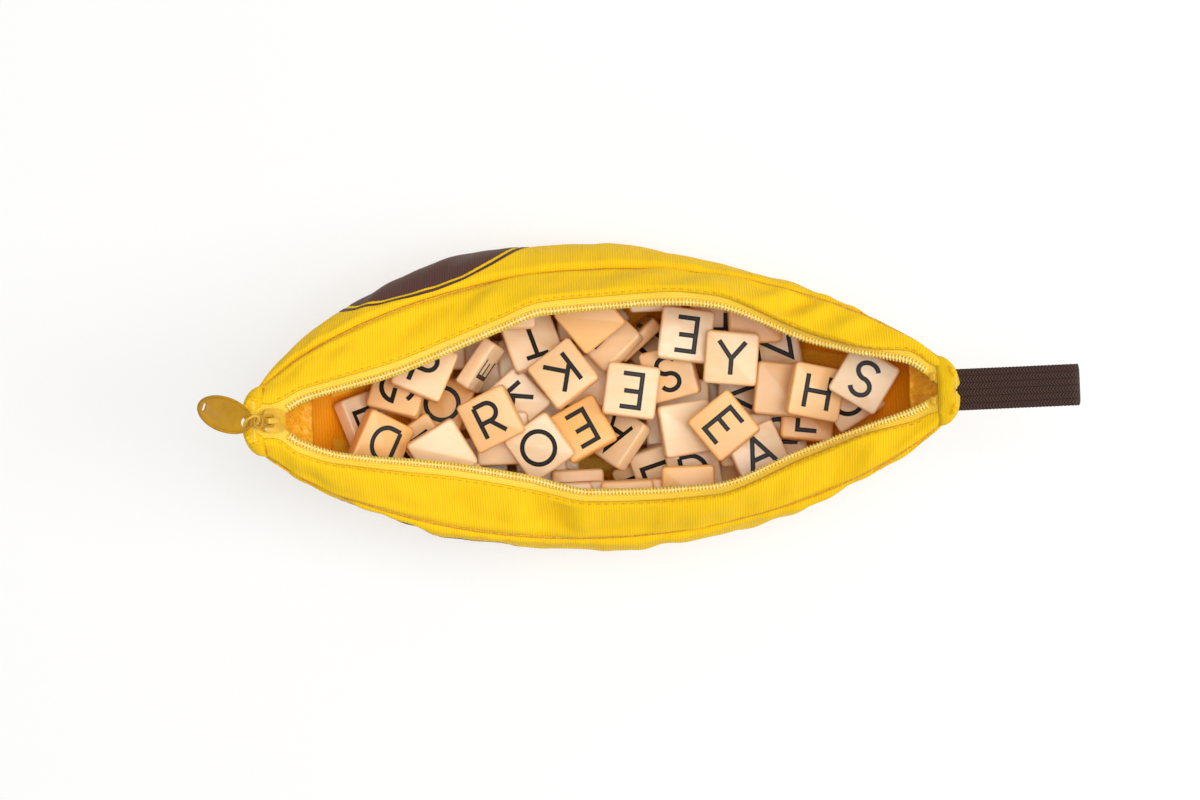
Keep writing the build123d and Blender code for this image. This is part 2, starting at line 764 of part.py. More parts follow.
def heap_of_tiles():
    """Every tile, as three lists: loose on top, the others seen from above, and hidden."""
    loose = []
    for entry in LOOSE_TILES:
        loose.append(hang(entry, loose))
    seen = []
    for entry in SEEN_TILES:
        placed = hang(entry, loose + seen)
        if placed:
            seen.append(placed)
    hidden = fill_hidden(tile_count - len(loose) - len(seen), loose + seen)
    heap = settle(settle(loose + seen + hidden))
    first_hidden = len(loose) + len(seen)
    return heap[: len(loose)], heap[len(loose) : first_hidden], heap[first_hidden:]


def make_all_tiles():
    loose, seen, hidden = heap_of_tiles()
    hidden.sort(key=lambda tile: tile[0][2])
    share = ceil(len(hidden) / hidden_groups)
    for group in range(hidden_groups):
        make_tiles(hidden[group * share : (group + 1) * share], f"tiles_layer_{group + 1}")
    thirds = {"slider_end": (-1, -0.3), "middle": (-0.3, 0.3), "strap_end": (0.3, 1)}
    for third, (low, high) in thirds.items():
        make_tiles([t for t in seen if low <= t[0][0] / half_length < high], f"tiles_top_{third}")
    for number, tile in enumerate(loose, 1):
        make_tiles([tile], f"loose_tile_{number}")


if __name__ == "__main__":
    os.makedirs("parts", exist_ok=True)
    make_belly_panel()
    for side, word in ((1, "back"), (-1, "front")):
        make_side_panel(side, f"side_panel_{word}")
        make_facing(side, f"zip_facing_{word}")
        make_tape(side, f"zip_tape_{word}")
        make_teeth(side, f"zip_teeth_{word}")
        make_top_stop(side, f"top_stop_{word}")
        make_top_allowance(side, f"top_seam_allowance_{word}")
        make_bottom_allowance(side, f"belly_seam_allowance_{word}")
    make_end_binding(-1, "end_binding_left")
    make_end_binding(1, "end_binding_right")
    make_strap()
    make_slider()
    make_crown()
    make_bottom_stop()
    make_eye()
    make_ring()
    make_tag()
    make_all_tiles()
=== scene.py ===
import json
from math import asin, atan2, cos, hypot, pi, radians, sin, sqrt

import bmesh
import bpy
import numpy as np
from mathutils import Matrix, Vector


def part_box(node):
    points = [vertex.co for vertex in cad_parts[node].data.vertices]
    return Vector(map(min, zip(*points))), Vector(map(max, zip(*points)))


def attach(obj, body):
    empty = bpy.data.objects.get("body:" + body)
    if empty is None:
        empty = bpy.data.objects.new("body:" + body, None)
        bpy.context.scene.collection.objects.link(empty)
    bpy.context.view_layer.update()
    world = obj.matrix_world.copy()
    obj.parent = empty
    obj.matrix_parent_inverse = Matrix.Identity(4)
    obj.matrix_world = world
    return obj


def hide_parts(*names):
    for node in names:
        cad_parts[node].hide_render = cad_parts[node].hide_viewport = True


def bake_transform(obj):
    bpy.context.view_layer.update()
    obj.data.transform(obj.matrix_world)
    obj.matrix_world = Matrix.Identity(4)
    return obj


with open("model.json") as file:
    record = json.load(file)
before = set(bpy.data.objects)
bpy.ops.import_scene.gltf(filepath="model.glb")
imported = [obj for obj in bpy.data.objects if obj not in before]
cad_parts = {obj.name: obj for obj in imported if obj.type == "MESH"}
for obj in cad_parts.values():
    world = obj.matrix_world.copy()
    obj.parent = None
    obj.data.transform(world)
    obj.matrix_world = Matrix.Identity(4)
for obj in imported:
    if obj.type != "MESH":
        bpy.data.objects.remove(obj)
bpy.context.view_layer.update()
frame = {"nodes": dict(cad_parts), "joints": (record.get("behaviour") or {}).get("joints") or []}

bl_info = {
    "name": "Zip pouch with letter tiles",
    "version": (1, 0, 0),
    "blender": (4, 5, 0),
    "location": "3D View > Sidebar > Tile pouch",
    "description": "Dresses the zip pouch and its heap of letter tiles with cloth, coil, thread and plastic",
    "category": "Object",
}

MM = 0.001
JOINTS = {joint["name"]: joint for joint in frame["joints"]}

# ---- shape of the pouch, in millimetres, as the solids have it ---------------
HALF = 123.0  # middle to a tip
TIP_HALF_WIDTH, PANEL_TAPER = 5.0, 0.75
BELLY_FLAT, BELLY_RISE, BELLY_HALF_WIDTH, BELLY_EDGE = 25.0, 80.0, 28.0, 2.0
SEAM_LEVEL, SEAM_RISE, SEAM_HALF_WIDTH = 60.0, 36.0, {1: 49.0, -1: 47.5}
BULGE_LEVEL, BULGE_RISE, BULGE_HALF_WIDTH = 38.0, 50.0, {1: 60.0, -1: 53.5}
BULGE_LEAN = 0.15  # the back sags fuller towards the slider
BULGE_SHARE = 0.55  # height share at which a side panel is widest
ZIP_START, ZIP_END, ZIP_HEIGHT, ZIP_SAG = -120.5, 120.0, 104.0, 47.0
ZIP_OVERRUN = 9.5
ZIP_CHORD = ZIP_END - ZIP_START + ZIP_OVERRUN
ZIP_CENTRE = ZIP_START + ZIP_CHORD / 2
ZIP_RADIUS = ((ZIP_CHORD / 2) ** 2 + ZIP_SAG**2) / (2 * ZIP_SAG)
RIM_GAP = 0.35  # half the gap between the closed rims
TIP_SLOPE = 0.4
FLAT_END, ARCHED_AFTER, SWING_FADE = 8.0, 26.0, 4.0
FACING, TAPE, TAPE_THICK, CLOTH = 15.4, 7.6, 0.8, 1.0
COIL_WIDTH, COIL_HEIGHT = 2.8, 1.6
MOUTH = {1: 34.6, -1: 30.0}  # half width of the open mouth
WAVE = {  # share of it, against the share of the zip's length
    1: ((0.0, 0.0), (0.03, 0.03), (0.07, 0.17), (0.19, 0.38), (0.35, 0.79), (0.42, 0.95), (0.5, 0.98),
        (0.6, 1.0), (0.67, 0.95), (0.82, 0.53), (0.9, 0.38), (0.95, 0.28), (1.0, 0.0)),
    -1: ((0.0, 0.0), (0.03, 0.04), (0.06, 0.22), (0.12, 0.41), (0.26, 0.57), (0.39, 0.79), (0.48, 0.98),
         (0.58, 1.0), (0.66, 0.98), (0.8, 0.6), (0.95, 0.19), (1.0, 0.0)),
}
SIDES = {1: "back", -1: "front"}


def through(points, place):
    """Smooth rise and fall through a few (place, share) points, without overshoot."""
    xs, ys = [p[0] for p in points], [p[1] for p in points]
    place = min(max(place, xs[0]), xs[-1])
    slopes = [(b[1] - a[1]) / (b[0] - a[0]) for a, b in zip(points, points[1:])]
    tangents = [slopes[0]]
    for before, after in zip(slopes, slopes[1:]):
        tangents.append(0.0 if before * after <= 0 else 2 * before * after / (before + after))
    tangents.append(slopes[-1])
    i = max(k for k in range(len(xs) - 1) if xs[k] <= place)
    h = xs[i + 1] - xs[i]
    t = (place - xs[i]) / h
    rise = ys[i] * (1 + 2 * t) * (1 - t) ** 2 + ys[i + 1] * t * t * (3 - 2 * t)
    return rise + h * tangents[i] * t * (1 - t) ** 2 - h * tangents[i + 1] * t * t * (1 - t)


def width_at(x, middle):
    return TIP_HALF_WIDTH + (middle - TIP_HALF_WIDTH) * max(0.0, 1 - (x / HALF) ** 2) ** PANEL_TAPER


def belly_z(x):
    return BELLY_RISE * (max(0.0, abs(x) - BELLY_FLAT) / (HALF - BELLY_FLAT)) ** 2


def seam_z(x):
    return SEAM_LEVEL + SEAM_RISE * (x / HALF) ** 2


def bulge_z(x):
    return BULGE_LEVEL + BULGE_RISE * (x / HALF) ** 2


def bulge_y(x, side):
    wide = width_at(x, BULGE_HALF_WIDTH[side])
    return wide * (1 - BULGE_LEAN * x / HALF) if side > 0 else wide


def belly_y(x):
    return width_at(x, BELLY_HALF_WIDTH)


def seam_y(x, side):
    return width_at(x, SEAM_HALF_WIDTH[side])


def zip_drop(x):
    """How far the closed zip hangs under its chord at x."""
    return sqrt(ZIP_RADIUS**2 - (x - ZIP_CENTRE) ** 2) - (ZIP_RADIUS - ZIP_SAG)


def rim_y(x, side):
    return max(MOUTH[side] * through(WAVE[side], (x - ZIP_START) / (ZIP_END - ZIP_START)), RIM_GAP)


def rim_z(x, side):
    if x < ZIP_START:
        return ZIP_HEIGHT - (ZIP_START - x) * TIP_SLOPE
    return ZIP_HEIGHT - sqrt(max(0.0, zip_drop(x) ** 2 - rim_y(x, side) ** 2))


def ease(value):
    value = min(max(value, 0.0), 1.0)
    return value * value * (3 - 2 * value)


def lip_points(x, side):
    """Top seam, the tape's sewn edge and the rim, as (y, z) on the positive side."""
    seam, rim = (seam_y(x, side), seam_z(x)), (rim_y(x, side), rim_z(x, side))
    span = hypot(seam[0] - rim[0], seam[1] - rim[1])
    facing = min(max(FACING, span - 0.95 * TAPE), span + 0.95 * TAPE)
    along = (span**2 + facing**2 - TAPE**2) / (2 * span)
    lift = sqrt(max(0.0, facing**2 - along**2))
    uy, uz = (rim[0] - seam[0]) / span, (rim[1] - seam[1]) / span
    arched = (seam[0] + uy * along + uz * lift, seam[1] + uz * along - uy * lift)
    flat = (min(rim[0] + TAPE, seam[0] - 0.1), rim[1])
    blend = ease((min(x - ZIP_START, ZIP_END - x) - FLAT_END) / ARCHED_AFTER)
    return seam, tuple(f + (a - f) * blend for f, a in zip(flat, arched)), rim


def side_point(x, share, side):
    """Point of a side panel: share 0 at the belly seam, 1 at the top seam."""
    wide, z_wide = bulge_y(x, side), bulge_z(x)
    if share < BULGE_SHARE:
        turn, low, z_low = share / BULGE_SHARE * pi / 2, belly_y(x), belly_z(x) + BELLY_EDGE
        y, z = low + (wide - low) * sin(turn), z_low + (z_wide - z_low) * (1 - cos(turn))
    else:
        turn, top = (share - BULGE_SHARE) / (1 - BULGE_SHARE) * pi / 2, seam_y(x, side)
        y, z = top + (wide - top) * cos(turn), z_wide + (seam_z(x) - z_wide) * sin(turn)
    return x, side * y, z


def swing(x, side):
    """Angles that the sewn edge and the rim turn about the chord when the zip closes at x."""
    _, sewn, rim = lip_points(x, side)
    turns = []
    for (y, z), rest in ((sewn, TAPE + RIM_GAP), (rim, RIM_GAP)):
        reach = max(hypot(y, ZIP_HEIGHT - z), 1.0)
        turns.append(max(0.0, atan2(y, max(ZIP_HEIGHT - z, 0.1)) - asin(min(1.0, rest / reach))))
    ends = ease((x - ZIP_START) / SWING_FADE) * ease((ZIP_END - x) / SWING_FADE)
    return turns[0] * ends, turns[1] * ends


# ---- mesh helpers ------------------------------------------------------------
def crowded(count):
    """Places along the pouch that crowd towards both tips."""
    return np.array([HALF * sin(pi * (i / (count - 1) - 0.5)) for i in range(count)])


def drift(x, y, size, seed):
    """Soft unevenness from -1 to 1 over x and y, with features about as large as size."""
    random = np.random.RandomState(seed)
    total = np.zeros(np.broadcast(x, y).shape)
    for _ in range(7):
        angle, length = random.uniform(0, 2 * pi), size * random.uniform(0.8, 2.0)
        phase = random.uniform(0, 2 * pi)
        total = total + np.sin((x * cos(angle) + y * sin(angle)) * 2 * pi / length + phase)
    return total / 3.5


def laid(xs, shares, point):
    """Grid of points over x and across, the length across it, and its x."""
    grid = np.array([[point(x, share) for share in shares] for x in xs])
    across = lengths_across(grid)
    return grid, across, np.broadcast_to(xs[:, None], across.shape)


def calmed(place, reach, least=0.0):
    """1 in the middle of the pouch, less within reach of a tip, where the cloth is held."""
    return np.clip((HALF - np.abs(place)) / reach, least, 1.0)


def unit(rows):
    return rows / np.linalg.norm(rows, axis=1, keepdims=True)


def travelled_along(path):
    """Distance from the first point to each, along a path."""
    return np.concatenate([[0], np.cumsum(np.linalg.norm(np.diff(path, axis=0), axis=1))])


def normals_of(grid):
    along, across = np.gradient(grid, axis=0), np.gradient(grid, axis=1)
    normal = np.cross(along, across)
    return normal / np.maximum(np.linalg.norm(normal, axis=2, keepdims=True), 1e-9)


def lengths_across(grid):
    """Distance from the first edge to each point, across the cloth."""
    steps = np.linalg.norm(np.diff(grid, axis=1), axis=2)
    return np.concatenate([np.zeros((len(grid), 1)), np.cumsum(steps, axis=1)], axis=1)


def plain_mesh(name, points, faces, finishes, finish_of_face=None, uv=None):
    """Mesh object from points in millimetres."""
    mesh = bpy.data.meshes.new(name)
    mesh.from_pydata((np.asarray(points, float) * MM).tolist(), [], [list(map(int, f)) for f in faces])
    for finish in finishes:
        mesh.materials.append(finish)
    if finish_of_face is not None:
        mesh.polygons.foreach_set("material_index", np.asarray(finish_of_face, np.int32))
    if uv is not None:
        corner = np.zeros(len(mesh.loops), np.int32)
        mesh.loops.foreach_get("vertex_index", corner)
        layer = mesh.uv_layers.new(name="cloth")
        layer.data.foreach_set("uv", np.asarray(uv, np.float32)[corner].ravel())
    smoothed(mesh)
    mesh.update()
    return placed(name, mesh)


def smoothed(mesh):
    mesh.polygons.foreach_set("use_smooth", np.ones(len(mesh.polygons), bool))


def placed(name, data):
    piece = bpy.data.objects.new(name, data)
    bpy.context.scene.collection.objects.link(piece)
    return piece


def cloth(name, grid, outward, thickness, outer, inner, uv):
    """Thin cloth with its edges: a grid of points on the outer face, and which way is out."""
    rows, columns = grid.shape[:2]
    inside = grid - normals_of(grid) * thickness * outward
    index = np.arange(rows * columns).reshape(rows, columns)
    front = np.stack([index[:-1, :-1], index[1:, :-1], index[1:, 1:], index[:-1, 1:]], -1).reshape(-1, 4)
    rim = np.concatenate([index[:, 0], index[-1, 1:], index[-2::-1, -1], index[0, -2:0:-1]])
    after, size = np.roll(rim, -1), rows * columns
    edge = np.stack([after, rim, rim + size, after + size], -1)
    faces = np.concatenate([front, front[:, ::-1] + size, edge])
    if outward < 0:
        faces = faces[:, ::-1]
    finish = [0] * len(front) + [1] * len(front) + [0] * len(edge)
    points = np.concatenate([grid.reshape(-1, 3), inside.reshape(-1, 3)])
    return plain_mesh(name, points, faces, [outer, inner], finish, np.concatenate([uv, uv]).reshape(-1, 2))


def tube(name, path, radius, finish, sides=8):
    """Round cord, such as a welt or a wire, along open points, with closed ends."""
    path = np.asarray(path, float)
    along = unit(np.gradient(path, axis=0))
    first = np.cross(along, (0, 0, 1.0))
    first /= np.maximum(np.linalg.norm(first, axis=1, keepdims=True), 1e-9)
    second = np.cross(along, first)
    turns = np.linspace(0, 2 * pi, sides, endpoint=False)
    rings = path[:, None] + radius * (
        first[:, None] * np.cos(turns)[None, :, None] + second[:, None] * np.sin(turns)[None, :, None]
    )
    index = np.arange(len(path) * sides).reshape(len(path), sides)
    beside = np.roll(index, -1, axis=1)
    faces = np.stack([index[:-1], beside[:-1], beside[1:], index[1:]], -1).reshape(-1, 4).tolist()
    faces += [index[0, ::-1].tolist(), index[-1].tolist()]
    uv = np.stack(np.broadcast_arrays(path[:, :1], turns[None] * radius), -1).reshape(-1, 2)
    return plain_mesh(name, rings.reshape(-1, 3), faces, [finish], uv=uv)


def bent(piece, side, shares):
    """The piece, which belongs to a lip, with its transform baked into its mesh.  Its shares, which would take
    the place of those that the blend gives by height, are not used."""
    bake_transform(piece)
    return piece


def lip_limit(side):
    return radians(JOINTS[f"lip_{SIDES[side]}_close"]["range_deg"][1])


def angle_down(grid):
    """Angle about the zip's chord, from straight down towards the side."""
    return np.arctan2(np.abs(grid[..., 1]), ZIP_HEIGHT - grid[..., 2])


def both_faces(grid, bends, side, thickness):
    """Bend shares for the outer and the inner face, so that the closed cloth keeps its thickness."""
    reach = np.hypot(grid[..., 1], ZIP_HEIGHT - grid[..., 2])
    turned = angle_down(grid) - bends * lip_limit(side)
    closed = np.stack(
        [grid[..., 0], side * reach * np.sin(turned), ZIP_HEIGHT - reach * np.cos(turned)], -1)
    inside = grid + normals_of(grid) * thickness * side
    under = closed + normals_of(closed) * thickness * side
    inner = (angle_down(inside) - angle_down(under)) / lip_limit(side)
    return np.concatenate([bends.ravel(), inner.ravel()])


def softened(node, finish, width, name):
    """Copy of a hard CAD node with its sharp edges rounded."""
    source = frame["nodes"][node]
    mesh = source.data.copy()
    mesh.name = name
    work = bmesh.new()
    work.from_mesh(mesh)
    bmesh.ops.remove_doubles(work, verts=work.verts, dist=1e-6)
    bmesh.ops.dissolve_limit(work, angle_limit=radians(1.5), verts=work.verts, edges=work.edges)
    work.to_mesh(mesh)
    work.free()
    mesh.materials.clear()
    mesh.materials.append(finish)
    piece = placed(name, mesh)
    bevel = piece.modifiers.new("rounded edges", "BEVEL")
    bevel.width, bevel.segments, bevel.limit_method, bevel.angle_limit = width * MM, 2, "ANGLE", radians(35)
    made_plain(piece)
    smoothed(piece.data)
    piece.data.set_sharp_from_angle(angle=radians(40))
    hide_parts(node)
    return piece


def made_plain(piece):
    """Modifiers applied, and removed."""
    graph = bpy.context.evaluated_depsgraph_get()
    result = bpy.data.meshes.new_from_object(piece.evaluated_get(graph), depsgraph=graph)
    piece.modifiers.clear()
    piece.data = result


# ---- repeated shapes, as geometry nodes ---------------------------------------
def add_node(tree, kind, inputs=None, **settings):
    """A node with its settings; its inputs are values, hex colours, sockets or nodes' first outputs."""
    made = tree.nodes.new(kind)
    for key, value in settings.items():
        setattr(made, key, value)
    for key, value in (inputs or {}).items():
        if isinstance(value, bpy.types.Node):
            value = value.outputs[0]
        if isinstance(value, bpy.types.NodeSocket):
            tree.links.new(value, made.inputs[key])
        else:
            coloured = isinstance(value, str) and value.startswith("#")
            made.inputs[key].default_value = linear(value) if coloured else value
    return made


def repeat_tree(name, coil, finish):
    """Tree that puts one coil turn, or one stitch, on every point, along and across as told."""
    tree = bpy.data.node_groups.new(name, "GeometryNodeTree")
    face = tree.interface
    face.new_socket("Geometry", in_out="INPUT", socket_type="NodeSocketGeometry")
    for label, default in (("Length", 1.5), ("Width", 0.6), ("Thread", 0.3)):
        made = face.new_socket(label, in_out="INPUT", socket_type="NodeSocketFloat")
        made.default_value = default * MM
    face.new_socket("Geometry", in_out="OUTPUT", socket_type="NodeSocketGeometry")
    given = add_node(tree, "NodeGroupInput").outputs
    scale = add_node(tree, "ShaderNodeCombineXYZ", {
        "X": given["Length"], "Y": given["Width"], "Z": 1.0 if coil else given["Thread"]})
    if coil:
        loop = add_node(tree, "GeometryNodeCurvePrimitiveCircle", {"Resolution": 9, "Radius": 0.5})
        shaped = add_node(tree, "GeometryNodeTransform", {"Geometry": loop, "Scale": scale})
        wire = add_node(tree, "GeometryNodeCurvePrimitiveCircle", {"Resolution": 5, "Radius": given["Thread"]})
        shape = add_node(tree, "GeometryNodeCurveToMesh", {"Curve": shaped, "Profile Curve": wire})
    else:
        ball = add_node(tree, "GeometryNodeMeshUVSphere", {"Segments": 6, "Rings": 5, "Radius": 0.5})
        shape = add_node(tree, "GeometryNodeTransform", {"Geometry": ball, "Scale": scale})
    axes = [add_node(tree, "GeometryNodeInputNamedAttribute", {"Name": label}, data_type="FLOAT_VECTOR")
            for label in ("first", "second")]
    turned = add_node(tree, "FunctionNodeAxesToRotation", {"Primary Axis": axes[0], "Secondary Axis": axes[1]},
                      primary_axis="X", secondary_axis="Z")
    copies = add_node(tree, "GeometryNodeInstanceOnPoints", {
        "Points": given["Geometry"], "Instance": shape, "Rotation": turned})
    real = add_node(tree, "GeometryNodeRealizeInstances", {"Geometry": copies})
    done = add_node(tree, "GeometryNodeSetMaterial", {"Geometry": real, "Material": finish})
    add_node(tree, "NodeGroupOutput", {"Geometry": done})
    return tree


def strewn(name, coil, finish, places, first, second, sizes, bend=None):
    """Coil turns or stitches at places in millimetres; first is their length, second their top."""
    mesh = bpy.data.meshes.new(name)
    mesh.from_pydata((np.asarray(places, float) * MM).tolist(), [], [])
    for label, rows in (("first", first), ("second", second)):
        layer = mesh.attributes.new(label, "FLOAT_VECTOR", "POINT")
        layer.data.foreach_set("vector", np.asarray(rows, np.float32).ravel())
    if bend is not None:
        layer = mesh.attributes.new("bend", "FLOAT", "POINT")
        layer.data.foreach_set("value", np.asarray(bend, np.float32))
    piece = placed(name, mesh)
    modifier = piece.modifiers.new("repeat", "NODES")
    modifier.node_group = repeat_tree(f"{name}_tree", coil, finish)
    for label, value in zip(("Length", "Width", "Thread"), sizes):
        modifier[modifier.node_group.interface.items_tree[label].identifier] = value * MM
    made_plain(piece)
    for label in ("first", "second"):
        if label in piece.data.attributes:
            piece.data.attributes.remove(piece.data.attributes[label])
    smoothed(piece.data)
    return piece


def bend_of(piece):
    values = np.zeros(len(piece.data.vertices), np.float32)
    piece.data.attributes["bend"].data.foreach_get("value", values)
    piece.data.attributes.remove(piece.data.attributes["bend"])
    return values


# ---- finishes ------------------------------------------------------------------
def linear(colour):
    """Linear colour, with its alpha, from an sRGB hex value."""
    parts = [int(colour[i : i + 2], 16) / 255 for i in (1, 3, 5)]
    return [c / 12.92 if c <= 0.04045 else ((c + 0.055) / 1.055) ** 2.4 for c in parts] + [1.0]


def new_finish(name, rough, settings=None):
    """Material with a shader whose plain values are set on its own sockets."""
    finish = bpy.data.materials.new(name)
    finish.use_nodes = True
    tree = finish.node_tree
    tree.nodes.clear()
    shader = add_node(tree, "ShaderNodeBsdfPrincipled", {"Roughness": rough, **(settings or {})})
    add_node(tree, "ShaderNodeOutputMaterial", {"Surface": shader})
    return finish, tree, shader


def finished(made, colour, height, depth_mm, strength):
    """Colour and height linked to the shader of what new_finish made."""
    finish, tree, shader = made
    bump = add_node(tree, "ShaderNodeBump", {"Height": height, "Distance": depth_mm * MM, "Strength": strength})
    tree.links.new(bump.outputs[0], shader.inputs["Normal"])
    tree.links.new(colour, shader.inputs["Base Color"])
    return finish


def shaded(tree, height, low, high, deep, bright, least=0.0, most=1.0, blend="MIX"):
    """Colour that goes from deep towards bright as a height goes from low to high."""
    share = add_node(tree, "ShaderNodeMapRange", {
        "Value": height, "From Min": low, "From Max": high, "To Min": least, "To Max": most})
    mix = add_node(tree, "ShaderNodeMix", {0: share, 6: deep, 7: bright}, data_type="RGBA", blend_type=blend)
    return mix.outputs[2]


def clouded(made, scale, detail, low, high, deep, bright, depth_mm, strength, most=1.0):
    """Finish whose colour and height both follow one cloudy noise."""
    tree = made[1]
    place = add_node(tree, "ShaderNodeTexCoord").outputs["Object"]
    cloud = add_node(tree, "ShaderNodeTexNoise", {"Vector": place, "Scale": scale, "Detail": detail})
    return finished(made, shaded(tree, cloud, low, high, deep, bright, 0.0, most), cloud, depth_mm, strength)


WAVE_SCALE = 0.314  # scale of a wave texture whose lines lie one unit apart


def woven_polyester(name, bright, deep, rough=0.8, sheen=0.12, rib=0.9):
    """Plain-weave polyester oxford cloth: fine ribs across the pouch, a finer warp between them, slightly uneven
    dye, and a soft sheen where it turns away.  Its colour is deeper where the weave is low: painted shade between
    the ribs."""
    made = new_finish(name, rough, {"Sheen Weight": sheen, "Sheen Roughness": 0.45, "Sheen Tint": "#FFE27A",
                                    "Specular IOR Level": 0.3})
    tree = made[1]
    place = add_node(tree, "ShaderNodeUVMap", uv_map="cloth")
    ribs, warp = (
        add_node(tree, "ShaderNodeTexWave", {
            "Vector": place, "Scale": WAVE_SCALE / pitch, "Distortion": wavy, "Detail": 1.0, "Detail Scale": fine,
        }, bands_direction=direction).outputs["Fac"]
        for direction, pitch, wavy, fine in (("X", rib, 0.7, 0.4), ("Y", rib * 0.6, 0.5, 0.5))
    )
    weave = add_node(tree, "ShaderNodeMath", {0: warp, 1: 0.35, 2: ribs}, operation="MULTIPLY_ADD")
    stretched = add_node(tree, "ShaderNodeMapping", {"Vector": place, "Scale": (1.0, 0.12, 1.0)})
    slub = add_node(tree, "ShaderNodeTexNoise", {"Vector": stretched, "Scale": 0.9, "Detail": 3.0})
    cloud = add_node(tree, "ShaderNodeTexNoise", {"Vector": place, "Scale": 0.035, "Detail": 3.0})
    # painted shade: the colour goes to the deep one where the weave's height is low, between the ribs
    ribs_with_painted_shade = shaded(tree, weave, 0.1, 1.1, deep, bright)
    uneven = shaded(tree, slub, 0.35, 0.7, ribs_with_painted_shade, deep, 0.16, 0.0, "MULTIPLY")
    return finished(made, shaded(tree, cloud, 0.3, 0.75, uneven, bright, 0.0, 0.35), weave, 0.12, 0.75)


def coated_fold(name, bright, deep):
    """Polyurethane-coated cloth, creased by hand: satin, with small crinkles, darker in their hollows as painted
    shade.
    """
    made = new_finish(name, 0.42)
    tree = made[1]
    place = add_node(tree, "ShaderNodeUVMap", uv_map="cloth")
    crinkle = add_node(tree, "ShaderNodeTexNoise", {
        "Vector": place, "Scale": 0.45, "Detail": 4.0, "Distortion": 1.2})
    # painted shade: the colour goes to the deep one where the crinkles are low
    return finished(made, shaded(tree, crinkle, 0.35, 0.65, deep, bright), crinkle, 0.8, 0.9)


def woven_tape(name, bright, deep):
    """Polyester zip tape: fine twill lines along the tape with a silky gloss, darker in the low lines as painted
    shade.
    """
    made = new_finish(name, 0.5, {"Sheen Weight": 0.3})
    tree = made[1]
    place = add_node(tree, "ShaderNodeUVMap", uv_map="cloth")
    lines = add_node(tree, "ShaderNodeTexWave", {
        "Vector": place, "Scale": WAVE_SCALE / 0.8, "Distortion": 0.4, "Detail": 1.0}, bands_direction="Y")
    turned = add_node(tree, "ShaderNodeMapping", {"Vector": place, "Rotation": (0, 0, radians(58))})
    twill = add_node(tree, "ShaderNodeTexWave", {
        "Vector": turned, "Scale": WAVE_SCALE / 0.7, "Distortion": 0.3}, bands_direction="X")
    height = add_node(tree, "ShaderNodeMath", {0: twill.outputs["Fac"], 1: 0.6, 2: lines.outputs["Fac"]},
                      operation="MULTIPLY_ADD")
    # painted shade: the colour goes to the deep one where the twill is low
    return finished(made, shaded(tree, height, 0.2, 1.3, deep, bright), height, 0.1, 0.7)


def spun_thread(name, bright, deep):
    """Spun polyester thread: a fine twist, matte."""
    return clouded(new_finish(name, 0.65), 1900.0, 1.0, 0.35, 0.65, deep, bright, 0.06, 0.6)


def nylon_coil(name, bright, deep):
    """Nylon monofilament, drawn and coiled: glossy and a little clear, paler than the tape."""
    made = new_finish(name, 0.32, {"IOR": 1.53, "Subsurface Weight": 0.15,
                                   "Subsurface Radius": (0.6, 0.4, 0.1), "Subsurface Scale": 0.0006})
    return clouded(made, 260.0, 2.0, 0.3, 0.7, deep, bright, 0.03, 0.4)


def sprayed_metal(name, bright, deep, rough, worn="#B79A4A", coat=0.2):
    """Zinc alloy with sprayed enamel: satin with a slight orange-peel, thin and darker at rubs."""
    made = new_finish(name, rough, {"Coat Weight": coat, "Coat Roughness": 0.2,
                                    "Specular IOR Level": 0.15 + 1.75 * coat})
    tree = made[1]
    place = add_node(tree, "ShaderNodeTexCoord").outputs["Object"]
    cloud, peel, rubs = (
        add_node(tree, "ShaderNodeTexNoise", {"Vector": place, "Scale": scale, "Detail": detail})
        for scale, detail in ((190.0, 4.0), (1500.0, 1.0), (620.0, 6.0))
    )
    paint = shaded(tree, cloud, 0.35, 0.7, deep, bright)
    return finished(made, shaded(tree, rubs, 0.6, 0.75, paint, worn, 0.0, 0.3), peel, 0.03, 0.35)


def braided_webbing(name, bright, deep):
    """Polypropylene webbing in a herringbone: rows of slanted yarns that turn back at each rib.  Its colour
    follows the relief: painted highlight on the raised yarns, and painted shade, near black, in the hollows.
    """
    made = new_finish(name, 0.75, {"Sheen Weight": 0.05, "Specular IOR Level": 0.25})
    tree = made[1]
    place = add_node(tree, "ShaderNodeUVMap", uv_map="cloth")
    parts = add_node(tree, "ShaderNodeSeparateXYZ", {0: place}).outputs
    column = add_node(tree, "ShaderNodeMath", {0: parts["Y"], 1: 1.2}, operation="PINGPONG")
    slanted = add_node(tree, "ShaderNodeMath", {0: column, 1: 0.9, 2: parts["X"]}, operation="MULTIPLY_ADD")
    saw = add_node(tree, "ShaderNodeMath", {0: slanted, 1: 0.55}, operation="PINGPONG")
    fibre = add_node(tree, "ShaderNodeTexNoise", {"Vector": place, "Scale": 5.0, "Detail": 3.0})
    yarn, valley, fuzz = (
        add_node(tree, "ShaderNodeMapRange", {
            "Value": value, "From Min": low, "From Max": high, "To Min": least, "To Max": most})
        for value, low, high, least, most in ((saw, 0.06, 0.45, 0.0, 1.0), (column, 0.0, 0.22, 0.0, 1.0),
                                              (fibre, 0.2, 0.7, 0.6, 1.1))
    )
    height = add_node(tree, "ShaderNodeMath", {0: yarn, 1: valley}, operation="MULTIPLY")
    fibre_and_painted_relief_light = add_node(tree, "ShaderNodeMath", {0: height, 1: fuzz}, operation="MULTIPLY")
    # painted highlight and painted shade: the colour goes from near black in the weave's hollows to the strap
    # colour on its raised yarns, with fibre noise
    colour = add_node(tree, "ShaderNodeMix", {0: fibre_and_painted_relief_light, 6: deep, 7: bright}, data_type="RGBA")
    return finished(made, colour.outputs[2], height, 0.35, 0.9)


